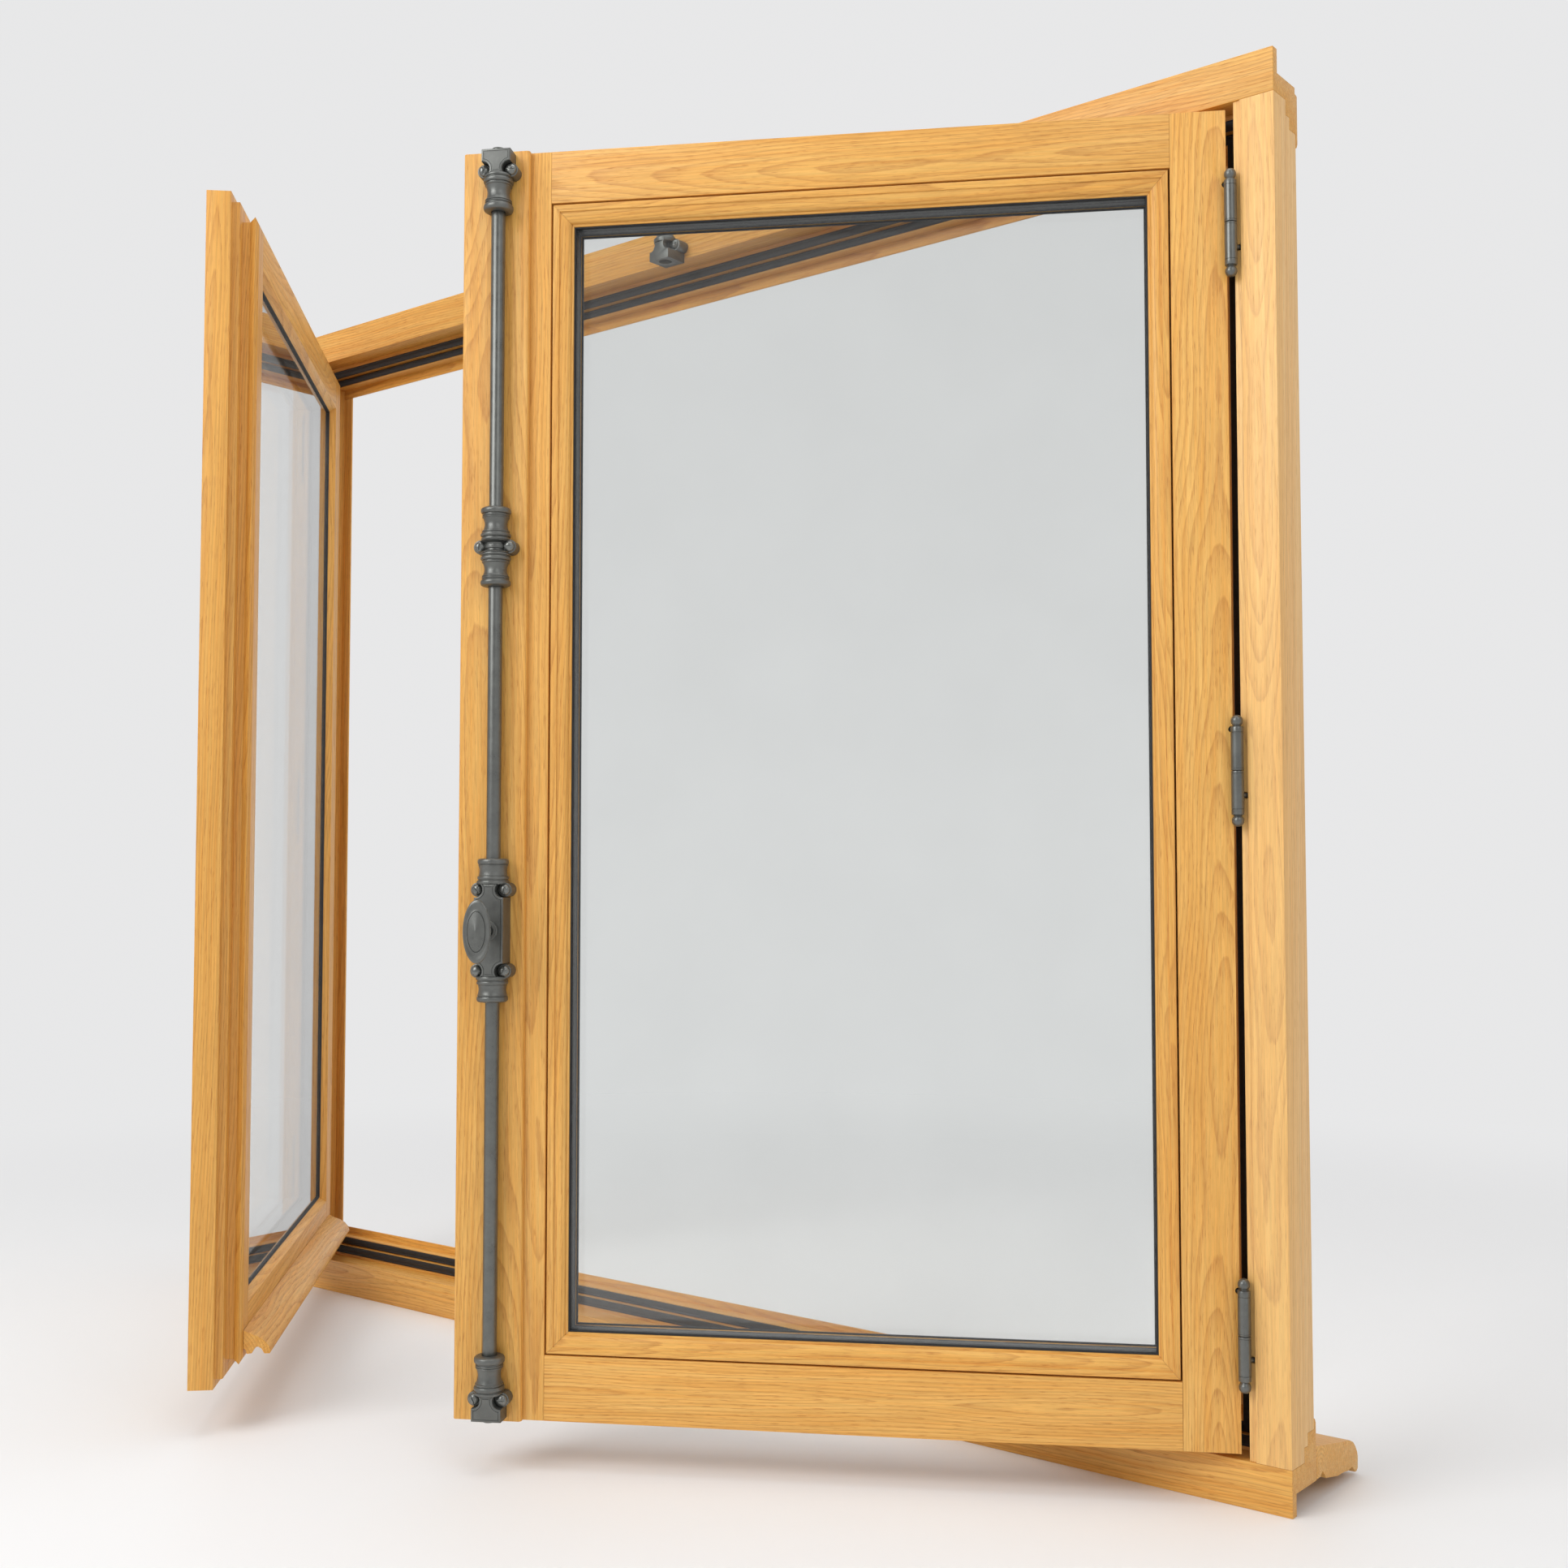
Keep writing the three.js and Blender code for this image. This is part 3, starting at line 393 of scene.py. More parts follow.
def oak_surface(t, source):
    """Growth rings, streaks, fibres and pores of plain-sawn oak, along the vector's first axis."""
    vector, own, honey, dark = [source[key] for key in ("Vector", "Tone", "Honey", "Dark")]
    drift = t.mul(t.sub(t.stretched(vector, 2.6, 12.0, 1.0), 0.5), 0.034)
    drift = t.add(drift, t.mul(t.sub(t.stretched(vector, 14.0, 90.0), 0.5), 0.0020))
    parts = t.node("ShaderNodeSeparateXYZ", {0: vector}).outputs
    across = t.node("ShaderNodeCombineXYZ", {0: 0.0, 1: parts[1], 2: parts[2]})
    radius = t.add(t.length(across), drift)
    rings = t.math("FRACT", t.math("DIVIDE", radius, source["Ring gap"]))
    late = t.mul(t.math("POWER", rings, 3.0), t.spread(rings, 0.93, 1.0, 1.0, 0.0))
    patch = t.stretched(vector, 1.1, 22.0)
    streak = t.stretched(vector, 1.1, 170.0, 3.0, 0.6)
    fibre = t.stretched(vector, 7.0, 520.0, 4.0, 0.65)
    pore = t.stretched(vector, 55.0, 1050.0, 1.0)
    pores = t.mul(t.spread(pore, 0.58, 0.68), t.spread(rings, 0.15, 0.6, 0.4, 1.0))
    base = t.mix(t.mul(t.spread(streak, 0.36, 0.66), 0.7), source["Pale"], honey)
    base = t.mix(t.mul(t.spread(patch, 0.42, 0.72), 0.45), base, honey)
    base = t.mix(t.mul(late, 0.48), base, dark)
    base = t.mix(t.mul(pores, 0.45), base, dark)
    # a lighter board looks washed, a darker one richer
    base = t.mix(t.mul(own, 15.0, True), base, t.mix(0.5, base, (0.84, 0.63, 0.34)))
    richer = t.mix(1.0, base, (1.0, 0.91, 0.66), "MULTIPLY")
    base = t.mix(t.mul(own, -7.0, True), base, richer)
    value = t.add(t.add(1.0, own), t.mul(t.sub(fibre, 0.5), 0.62))
    base = t.mix(1.0, base, t.grey(value), "MULTIPLY")
    rough = t.add(t.spread(streak, 0.3, 0.7, 0.40, 0.52), t.mul(pores, 0.2))
    height = t.sub(t.sub(t.mul(fibre, 0.35), t.mul(pores, 0.9)), t.mul(late, 0.25))
    return base, rough, height


IRON_INPUTS = [
    ("Vector", "Vector"),
    ("Base", "Color", (0.08, 0.08, 0.08, 1)),
    ("Roughness", "Float", 0.45),
    ("Sand", "Float", 1.0),
]


def iron_surface(t, source):
    """Mottle, sand texture and rubbed patches of painted cast iron."""
    vector = source["Vector"]
    mottle, sand, rub = [t.noise(vector, *row) for row in ((55.0, 4.0), (1600.0, 2.0), (190.0, 3.0))]
    level = t.add(t.spread(mottle, 0.3, 0.7, 0.88, 1.14), t.mul(t.spread(rub, 0.55, 0.75), 0.12))
    base = t.mix(1.0, source["Base"], t.grey(level), "MULTIPLY")
    rough = t.add(source["Roughness"], t.spread(mottle, 0.3, 0.7, -0.03, 0.05))
    rough = t.add(rough, t.spread(sand, 0.3, 0.7, -0.04, 0.06))
    return base, rough, t.mul(t.add(sand, t.mul(mottle, 0.6)), source["Sand"])


def material(build):
    """A material is built the first time its name is asked for."""

    def ask(name, *values):
        ready = bpy.data.materials.get(name)
        if not ready:
            ready = bpy.data.materials.new(name)
            ready.use_nodes = True
            shader = ready.node_tree.nodes["Principled BSDF"]
            build(Tree(ready.node_tree), shader, *values)
        return ready

    return ask


def bumped(tree, shader, height, strength, distance):
    bump = tree.node("ShaderNodeBump", {"Height": height, "Strength": strength, "Distance": distance})
    tree.feed(shader, {"Normal": bump})


def surfaced(tree, shader, group, values, strength, distance):
    """Colour, roughness and relief of a material come from a surface group."""
    surface = tree.node("ShaderNodeGroup", values, node_tree=group).outputs
    tree.feed(shader, {"Base Color": surface["Color"], "Roughness": surface["Roughness"]})
    bumped(tree, shader, surface["Height"], strength, distance)


@material
def oak(tree, shader):
    """Varnished oak whose grain follows each piece's own grain attribute."""
    s = settings().oak
    along = tree.node("ShaderNodeAttribute", attribute_name="grain").outputs["Vector"]
    own = tree.node("ShaderNodeAttribute", attribute_name="tone").outputs["Fac"]
    surfaced(tree, shader, surface_group("Oak grain", OAK_INPUTS, oak_surface), {
        "Vector": along, "Tone": own, "Ring gap": s.ring_gap,
        "Pale": (*s.pale, 1), "Honey": (*s.honey, 1), "Dark": (*s.dark, 1),
    }, 0.28, 0.0004)
    tree.feed(shader, {"Coat Weight": s.varnish, "Coat Roughness": 0.28, "Specular IOR Level": 0.42})


@material
def iron(tree, shader, base, roughness, sand=1.0):
    surfaced(tree, shader, surface_group("Cast surface", IRON_INPUTS, iron_surface), {
        "Vector": tree.place(), "Base": (*base, 1), "Roughness": roughness, "Sand": sand,
    }, 0.22, 0.00035)
    tree.feed(shader, {"Metallic": 0.8})


@material
def rubber(tree, shader, base, roughness=0.62):
    dust = tree.noise(tree.place(), 260.0, 4.0)
    pale = [min(1.0, c * 2.4 + 0.006) for c in base]
    tree.feed(shader, {
        "Base Color": tree.mix(tree.spread(dust, 0.45, 0.8), base, pale),
        "Roughness": tree.spread(dust, 0.3, 0.7, roughness - 0.08, roughness + 0.1),
    })
    bumped(tree, shader, dust, 0.15, 0.0003)


@material
def clear_glass(tree, shader):
    film = tree.noise(tree.place(), 9.0, 3.0)
    tint = settings().glazing.tint
    tree.feed(shader, {
        "Base Color": tree.mix(tree.spread(film, 0.3, 0.7), tint, [c * 0.985 for c in tint]),
        "Roughness": 0.0, "IOR": 1.45, "Transmission Weight": 1.0,
    })


# ---------------- oak pieces


def grain_on(bm, place, along, seed, shade=None):
    """Each point keeps its place along and across the grain, from a pith line that the seed sets."""
    chance = random.Random(seed)
    layer = bm.verts.layers.float_vector.new("grain")
    tone = bm.verts.layers.float.new("tone")
    a, b, c = {"z": (2, 0, 1), "x": (0, 2, 1)}[along]
    points = [place.back @ v.co for v in bm.verts]
    centre = [sum(p[i] for p in points) / len(points) for i in range(3)]
    off_b = chance.choice((-1, 1)) * chance.uniform(0.0, 0.035)
    off_c = chance.uniform(0.035, 0.08)
    lean = chance.uniform(-0.02, 0.02)
    dive = chance.choice((-1, 1)) * chance.uniform(0.015, 0.035)
    start = chance.uniform(0, 40)
    shade = chance.uniform(-0.10, -0.02) if shade is None else shade
    for v, p in zip(bm.verts, points):
        far = p[a] - centre[a]
        side = p[b] - centre[b] + off_b + lean * far
        deep = p[c] - centre[c] + off_c + dive * far
        v[layer] = (start + far, side, deep)
        v[tone] = shade


def eased(node, steeper, width, profile):
    """A node's own mesh, its triangles joined, with edges over so many degrees rounded."""
    bm = bmesh.new()
    bm.from_mesh(frame["nodes"][node].data)
    bmesh.ops.remove_doubles(bm, verts=bm.verts, dist=3e-6)
    bmesh.ops.dissolve_limit(bm, angle_limit=math.radians(0.4), verts=bm.verts[:], edges=bm.edges[:])
    bm.normal_update()
    limit = math.radians(steeper)
    edges = [e for e in bm.edges if len(e.link_faces) == 2 and e.calc_face_angle(0) > limit]
    bmesh.ops.bevel(
        bm, geom=edges, offset=width, segments=2, profile=profile, affect="EDGES", clamp_overlap=True
    )
    return bm


def worked(node, place, along, seed, shade=None, material="Oak sash"):
    """A planed oak piece: the frame's own shape with every worked edge eased."""
    bm = eased(node, 32, settings().oak.arris, 0.6)
    grain_on(bm, place, along, seed, shade)
    finish_mesh(bm, f"oak_{node}", oak(material), place.body, [node], 20)


class CASEMENT_OT_frame_woodwork(bpy.types.Operator):
    """Makes the head, jambs, bottom rail and sill"""

    bl_idname = "casement.frame_woodwork"
    bl_label = "Frame woodwork"

    def execute(self, context):
        for seed, (node, along, shade) in enumerate([
            ("frame_head", "x", -0.10),
            ("frame_bottom_rail", "x", -0.08),
            ("frame_jamb_left", "z", -0.03),
            ("frame_jamb_right", "z", 0.03),
            ("sill", "x", -0.02),
        ]):
            worked(node, FRAME, along, 11 + seed, shade, "Oak frame")
        return {"FINISHED"}


class CASEMENT_OT_sash_woodwork(bpy.types.Operator):
    """Makes the stiles, rails, cover strip and drip bars"""

    bl_idname = "casement.sash_woodwork"
    bl_label = "Sash woodwork"

    def execute(self, context):
        for base, (hand, place) in zip((31, 57), SASHES.items()):
            parts = ("hinge_stile", "meeting_stile", "top_rail", "bottom_rail", "drip_bar")
            nodes = [f"{hand}_{part}" for part in parts]
            if hand == "right":
                nodes.append("cover_strip")
            for i, node in enumerate(nodes):
                along = "z" if node.endswith(("stile", "strip")) else "x"
                worked(node, place, along, base + i)
        return {"FINISHED"}


class CASEMENT_OT_beads(bpy.types.Operator):
    """Makes the mitred, moulded glazing beads"""

    bl_idname = "casement.beads"
    bl_label = "Glazing beads"

    def execute(self, context):
        for hand, place in SASHES.items():
            for i, side in enumerate(("hinge", "meeting", "bottom", "top")):
                self.bead(place, f"{hand}_bead_{side}", side, 80 + i + (0 if hand == "left" else 7))
        return {"FINISHED"}

    def section(self, depth):
        """A bead's section as rows of (share of its width from the sash, depth from its face)."""
        rows = [(0.0, depth / MM), (0.0, 1.6), (0.02, 0.5), (0.06, 0.05), (0.30, 0.05)]
        rows += [(0.335, 0.25), (0.345, 1.9)]
        for i in range(11):
            angle = math.pi / 2 * i / 10
            rows.append((0.36 + 0.52 * math.sin(angle), 2.0 + 5.4 * (1 - math.cos(angle))))
        rows += [(0.885, 8.3), (0.95, 8.5), (0.985, 8.8), (1.0, 9.6), (1.0, depth / MM)]
        return [(share_in, deep * MM) for share_in, deep in rows]

    def bead(self, place, node, side, seed):
        low, high = place.box(node)
        across, along = (0, 2) if side in ("hinge", "meeting") else (2, 0)
        wide = high[across] - low[across]
        # the sight edge lies nearer the pane's middle
        pane = place.middle(node.split("_")[0] + "_pane_inner", across)
        inward = 1 if pane > place.middle(node, across) else -1
        outer = low[across] if inward > 0 else high[across]
        start, end = low[along], high[along]
        points = place.points(node)
        sight = max(p[across] * inward for p in points)
        reach = [p[along] for p in points if abs(p[across] * inward - sight) < 5e-5]
        # how far each mitre runs back along the bead over its width
        back = [min(abs(value - limit) for value in reach) for limit in (start, end)]
        count = 24
        rings = []
        for k in range(count + 1):
            rings.append([])
            for share_in, deep in self.section(high.y - low.y):
                first, last = start + back[0] * share_in, end - back[1] * share_in
                p = [0, low.y + deep, 0]
                p[across] = outer + inward * wide * share_in
                p[along] = first + (last - first) * k / count
                rings[-1].append(p)
        solid = Solid()
        solid.loft(rings)
        solid.bm.transform(place.matrix)
        grain_on(solid.bm, place, "xyz"[along], seed)
        finish_mesh(solid.bm, f"oak_{node}", oak("Oak sash"), place.body, [node], 24)


# ---------------- glazing and gaskets


def grown(box, by):
    """A rectangle (x0, x1, z0, z1) grown on all sides."""
    x0, x1, z0, z1 = box
    return (x0 - by, x1 + by, z0 - by, z1 + by)


def ring_piece(place, name, material, slot, outer, inner, rows, nodes=()):
    """A mitred ring whose section is rows of (share from outer to inner, depth)."""
    rings = []
    for share_in, depth in rows:
        x0, x1, z0, z1 = [a + (b - a) * share_in for a, b in zip(outer, inner)]
        rings.append([(x0, depth, z0), (x1, depth, z0), (x1, depth, z1), (x0, depth, z1)])
    solid = Solid()
    solid.loft(rings, True)
    solid.finish(place, name, material, slot, nodes)


class CASEMENT_OT_glazing(bpy.types.Operator):
    """Makes the panes, spacer bars and the black glazing gaskets"""

    bl_idname = "casement.glazing"
    bl_label = "Glazing"

    def execute(self, context):
        s = settings().glazing
        glass = clear_glass("Clear glass")
        for hand, place in SASHES.items():
            for pane in ("inner", "outer"):
                node = f"{hand}_pane_{pane}"
                low, high = place.box(node)
                solid = Solid()
                corners = [(low.x, low.z), (high.x, low.z), (high.x, high.z), (low.x, high.z)]
                solid.prism(corners, high.y, low.y, lambda a, b, d: (a, d, b), 0.4 * MM)
                piece = solid.finish(place, f"glass_{hand}_{pane}", glass, "glass", [node], sharp=1)
                piece.visible_shadow = False
            self.spacer(hand, place, s)
            self.gaskets(hand, place, s)
        return {"FINISHED"}

    def sight(self, hand, place):
        """The clear opening inside the beads."""
        sides = [place.box(f"{hand}_bead_{side}") for side in ("hinge", "meeting")]
        sides.sort(key=lambda box: box[0].x)
        bottom, top = place.box(f"{hand}_bead_bottom"), place.box(f"{hand}_bead_top")
        return (sides[0][1].x, sides[1][0].x, bottom[1].z, top[0].z)

    def spacer(self, hand, place, s):
        low, high = place.box(f"{hand}_spacer")
        middle, deep = (low.y + high.y) / 2, high.y - low.y
        outer, inner = (low.x, high.x, low.z, high.z), grown(self.sight(hand, place), 0.2 * MM)
        half = [(1, 0), (1, 0.9), (0.96, 1.6), (0.96, deep / 2 / MM - 0.4)]
        rows = [(0, low.y), (0, high.y)] + [(part, high.y - d * MM) for part, d in half]
        rows += [(0.975, middle)] + [(part, low.y + d * MM) for part, d in reversed(half)]
        metal = rubber("Spacer bar", s.spacer, 0.42)
        ring_piece(place, f"spacer_{hand}", metal, "spacer", outer, inner, rows, [f"{hand}_spacer"])

    def gaskets(self, hand, place, s):
        black = rubber("Glazing rubber", s.rubber)
        sight = self.sight(hand, place)
        outer, inner = grown(sight, 3 * MM), grown(sight, -2.2 * MM)
        face = place.box(f"{hand}_bead_hinge")[1].y - 3.8 * MM
        pane = place.box(f"{hand}_pane_inner")[0].y - 0.05 * MM
        rows = [(0.62, pane), (0.62, face), (0.86, face + 0.3 * MM)]
        rows += [(0.97, face + 1.3 * MM), (1.0, face + 2.6 * MM), (0.98, pane)]
        ring_piece(place, f"glazing_gasket_in_{hand}", black, "gasket", outer, inner, rows)
        pane = place.box(f"{hand}_pane_outer")[1].y
        lip = [(0.62, 0.05), (0.98, 0.05), (1.0, 1.4), (0.9, 2.6), (0.62, 3.0)]
        rows = [(part, pane + d * MM) for part, d in lip]
        ring_piece(place, f"glazing_gasket_out_{hand}", black, "gasket", outer, inner, rows)


class CASEMENT_OT_gaskets(bpy.types.Operator):
    """Makes the two weather gaskets with their soft lips"""

    bl_idname = "casement.gaskets"
    bl_label = "Weather gaskets"

    def execute(self, context):
        black = rubber("Gasket rubber", settings().glazing.rubber)
        # section: share of the width inwards, share of the depth from the room's side
        lips = [(0, 1), (0, 0.4), (0.12, 0.15), (0.3, 0.45), (0.42, 0.2), (0.62, 0)]
        lips += [(0.85, 0.12), (0.98, 0.5), (1.0, 1)]
        for node, inside in (("seal_inner", 11.9 * MM), ("seal_outer", 10.5 * MM)):
            low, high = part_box(node)
            outer = (low.x, high.x, low.z, high.z)
            rows = [(part, low.y + (high.y - low.y) * deep) for part, deep in lips]
            inner = grown(outer, -inside)
            ring_piece(FRAME, f"weather_{node}", black, "gasket", outer, inner, rows, [node])
        return {"FINISHED"}


# ---------------- ironwork


def on_axis(rows, base, sign=1, factor=1.0):
    """Rows in millimetres from a level, as rows in metres."""
    return [(r * MM, base + sign * h * MM * factor) for r, h in rows]


def knuckle_rows():
    """A turned barrel with ring lines and a ball finial, from its joint."""
    rows = [(0, 0.25), (5.9, 0.25), (6.45, 0.45), (6.7, 0.95)]
    rows += [(6.7, 2.2), (6.35, 2.35), (6.35, 2.75), (6.7, 2.9)]
    rows += [(6.7, 40.6), (6.3, 40.8), (6.3, 41.3), (6.7, 41.5), (6.7, 46.4), (6.4, 47.0)]
    rows += [(5.4, 47.5), (4.4, 47.8), (4.2, 48.1)]
    ball, centre = 6.5, 53.5
    for i in range(12):
        angle = math.radians(-48 + 138 * i / 12)
        rows.append((ball * math.cos(angle), centre + ball * math.sin(angle)))
    return rows + [(0, 60.0)]


class CASEMENT_OT_hinges(bpy.types.Operator):
    """Makes the twelve turned hinge knuckles"""

    bl_idname = "casement.hinges"
    bl_label = "Hinges"

    def execute(self, context):
        s = settings().iron
        metal = iron("Hinge iron", s.hinge, s.roughness - 0.04, 0.5)
        for hand, place in SASHES.items():
            x, y, _ = JOINTS[f"{hand}_sash_hinge"]["pos_m"]
            for where in ("top", "middle", "bottom"):
                node = f"hinge_{hand}_{where}"
                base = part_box(f"{node}_sash")[0].z - 0.25 * MM
                for half, sign, body in (("sash", 1, place.body), ("frame", -1, "frame")):
                    solid = Solid()
                    solid.turned(on_axis(knuckle_rows(), base, sign), (x, y, 0), segments=48)
                    self.stud(solid, f"{node}_{half}", x, y)
                    name = f"barrel_{node}_{half}"
                    finish_mesh(solid.bm, name, metal, body, [f"{node}_{half}"])
        return {"FINISHED"}

    def stud(self, solid, node, x, y):
        """The stud that screws into the wood, along the frame's own stud."""
        points = FRAME.points(node)
        reach = max(points, key=lambda p: math.hypot(p.x - x, p.y - y))
        far = [p for p in points if (p - reach).length < 7.5 * MM]
        end = sum(far, Vector()) / len(far)
        start = Vector((x, y, end.z))
        turn = Vector((0, 0, 1)).rotation_difference(end - start).to_matrix().to_4x4()
        rows = on_axis([(0, 3), (2.4, 3)], 0)
        rows += on_axis([(2.4, -2), (1.4, 0), (0, 0)], (end - start).length - 0.3 * MM)
        solid.turned(rows, (0, 0, 0), segments=20, change=lambda p: start + (turn @ p))


BORE = 8.4  # radius of the castings' bore for the rods, in mm


def collar_rows():
    """The long turned collar of the rod guides, 43 mm from block to rod."""
    rows = [(BORE, 0.0), (15.6, 0.0)]
    rows += bulge(0.2, 3.4, 15.7, 16.6, 5) + [(15.3, 3.8), (15.3, 4.3)]
    rows += bulge(4.6, 9.6, 15.6, 17.2, 8) + [(15.0, 10.0), (15.0, 10.5)]
    rows += bulge(10.7, 12.6, 15.0, 15.7, 4) + [(14.5, 13.0)]
    rows += cove(13.6, 28.2, 14.3, 14.2, 1.6, 10) + [(14.5, 28.6)]
    rows += bulge(28.9, 30.7, 14.6, 15.4, 4) + bulge(31.1, 33.0, 14.7, 15.6, 4)
    rows += [(14.6, 33.5), (14.6, 34.1)] + bulge(34.3, 41.8, 15.0, 17.2, 9)
    return rows + [(13.8, 42.6), (12.0, 43.0), (BORE + 0.4, 43.0), (BORE, 42.5)]


def box_collar_rows():
    """The shorter collar above and below the gearbox, 29 mm long."""
    rows = [(BORE, 0.0), (17.4, 0.0)]
    rows += bulge(0.2, 4.2, 17.5, 18.6, 6) + [(16.8, 4.6), (16.8, 5.2)]
    rows += bulge(5.4, 9.2, 16.8, 17.7, 6) + [(16.0, 9.6), (16.0, 10.0)]
    rows += cove(10.2, 20.6, 16.0, 16.4, 0.9, 8) + [(16.7, 20.9), (16.7, 22.0), (16.2, 22.3)]
    rows += bulge(22.6, 28.0, 16.5, 17.6, 7)
    return rows + [(15.6, 28.8), (14.6, 29.0), (BORE + 0.4, 29.0), (BORE, 28.5)]


def scalloped(half, low, high, centres, radius):
    """A rectangle with hollow round corners at the given screw centres."""
    outline = []
    for x, z in ((half, low), (half, high), (-half, high), (-half, low)):
        hit = [c for c in centres if abs(c[0] - x) < radius and abs(c[1] - z) < radius]
        if not hit:
            outline.append((x, z))
            continue
        cx, cz = hit[0]
        on_side = (x, cz - math.copysign(math.sqrt(radius**2 - (x - cx) ** 2), z))
        on_end = (cx - math.copysign(math.sqrt(radius**2 - (z - cz) ** 2), x), z)
        ends = [on_side, on_end] if (x > 0) == (z > (low + high) / 2) else [on_end, on_side]
        first, last = [math.atan2(b - cz, a - cx) for a, b in ends]
        turn = (last - first + math.pi) % (2 * math.pi) - math.pi
        for i in range(15):
            angle = first + turn * i / 14
            outline.append((cx + radius * math.cos(angle), cz + radius * math.sin(angle)))
    return outline


HALF_WIDTH = 17 * MM  # of the castings' blocks
SCOOP = 8.7 * MM  # radius of the hollow corners round the screws
# how far a casting's screw ears stand out from the wood, in the order of their screws
EAR_OUT = {"guide_top": 15 * MM, "guide_bottom": 15 * MM, "guide_middle": 15 * MM, "cremone_box": 18 * MM}
ENGRAVED = [(2.2 * MM, 0.9 * MM, 0.5 * MM)]  # inset, width and depth of the line round a face


class Cremone:
    """Places of the bolt, read from its CAD solids in the right sash's own frame."""

    def __init__(self):
        self.place = SASHES["right"]
        self.x = self.place.middle("guide_top", 0)
        self.y = self.place.middle("rod_top", 1)
        self.seat = self.place.box("guide_top")[1].y

    def front(self, node, low, high):
        """Foremost point of a casting between two heights."""
        return min(p.y for p in self.place.points(node) if low <= p.z <= high)

    def ears(self, node):
        """Centres of a casting's screws, across from the rods and up."""
        low, high = self.place.box(node)
        middle, reach = (low.z + high.z) / 2, (high.z - low.z) / 2 - 35 * MM
        across, levels = {
            "guide_top": (16 * MM, [high.z - 23 * MM]),
            "guide_bottom": (16 * MM, [low.z + 23 * MM]),
            "guide_middle": (17 * MM, [middle]),
            "cremone_box": (16 * MM, [middle - reach, middle + reach]),
        }[node]
        return [(x, z) for z in levels for x in (-across, across)]

    def block(self, solid, outline, level, back, front, *looks, up=1):
        """An outline around a level, between two depths."""
        solid.prism(outline, back, front, lambda a, b, d: (self.x + a, d, level + up * b), *looks)

    def collar(self, solid, rows, base, sign=1, factor=1.0):
        """A turned collar on the rods, with nothing behind the face that the fittings sit on."""
        solid.turned(
            on_axis(rows, base, sign, factor), (self.x, self.y, 0), segments=64,
            change=lambda p: Vector((p.x, min(p.y, self.seat), p.z)),
        )

    def finish(self, solid, node, metal):
        """The ears for its screws complete a casting."""
        for x, z in self.ears(node):
            lip = [(8, 1), (7.7, 0.3), (7.1, 0), (6.2, 0), (6, 0.5), (0, 0.5)]
            rows = [(0, self.seat), (8 * MM, self.seat)] + on_axis(lip, self.seat - EAR_OUT[node])
            solid.turned(rows, (self.x + x, 0, z), "Y", 40)
        solid.finish(self.place, f"casting_{node}", metal, "cremone_iron", [node])


class CASEMENT_OT_cremone(bpy.types.Operator):
    """Makes the guides, the gearbox and the keepers of the cremone bolt"""

    bl_idname = "casement.cremone"
    bl_label = "Cremone castings"

    def execute(self, context):
        s = settings().iron
        metal = iron("Cremone iron", s.body, s.roughness)
        c = Cremone()
        self.end_guide(c, metal, "guide_top", -1)
        self.end_guide(c, metal, "guide_bottom", 1)
        self.middle(c, metal)
        self.gearbox(c, metal)
        self.rose(c, metal)
        for node in ("keeper_top", "keeper_bottom"):
            bm = eased(node, 40, 0.5 * MM, 0.5)
            finish_mesh(bm, f"casting_{node}", metal, "frame", [node], 26)
        return {"FINISHED"}

    def end_guide(self, c, metal, node, sign):
        low, high = c.place.box(node)
        end, long = (high.z if sign < 0 else low.z), 28 * MM
        front = c.front(node, end - 0.5 * MM, end + 0.5 * MM)
        centres = [(x, (z - end) * sign) for x, z in c.ears(node)]
        solid = Solid()
        outline = scalloped(HALF_WIDTH, 0.0, long, centres, SCOOP)
        c.block(solid, outline, end, c.seat, front, 0.7 * MM, ENGRAVED, up=sign)
        c.collar(solid, collar_rows(), end + sign * long, sign)
        c.finish(solid, node, metal)

    def middle(self, c, metal):
        low, high = c.place.box("guide_middle")
        mid, waist = c.place.middle("guide_middle"), 7.1 * MM
        neck = [(BORE, -7.2), (16.6, -7.2), (17.3, -6.4), (15.5, -5.6), (11.6, -4.2)]
        neck += [(11.2, -2.4), (12.4, -2.1), (12.6, 0.0)]
        neck += [(r, -h) for r, h in reversed(neck[1:-1])] + [(BORE, 7.2)]
        solid = Solid()
        c.collar(solid, neck, mid)
        for sign in (1, -1):
            reach = (high.z - mid - waist) / (43 * MM)
            c.collar(solid, collar_rows(), mid + sign * waist, sign, reach)
        c.finish(solid, "guide_middle", metal)

    def gearbox(self, c, metal):
        low, high = c.place.box("cremone_box")
        mid = c.place.middle("cremone_box")
        half = (high.z - low.z) / 2 - 29 * MM
        centres = [(x, z - mid) for x, z in c.ears("cremone_box")]
        solid = Solid()
        outline = scalloped(HALF_WIDTH, -half, half, centres, SCOOP)
        front = c.front("cremone_box", mid - 6 * MM, mid + 6 * MM)
        c.block(solid, outline, mid, c.seat, front, 0.7 * MM, ENGRAVED)
        for sign in (1, -1):
            c.collar(solid, box_collar_rows(), mid + sign * half, sign)
        c.finish(solid, "cremone_box", metal)

    def rose(self, c, metal):
        base, mid = c.place.box("knob_rose")[1].y, c.place.middle("knob_rose")
        rows = [(6.6, 0), (11.0, 0), (11.2, 0.6)] + bulge(0.8, 2.4, 10.2, 10.9, 5) + [(9.2, 2.5)]
        rows += bulge(2.5, 3.5, 7.8, 8.9, 4) + [(6.6, 3.4)]
        solid = Solid()
        solid.turned(on_axis(rows, base, -1), (c.x, 0, mid), "Y", 48)
        solid.finish(c.place, "casting_knob_rose", metal, "cremone_iron", ["knob_rose"])


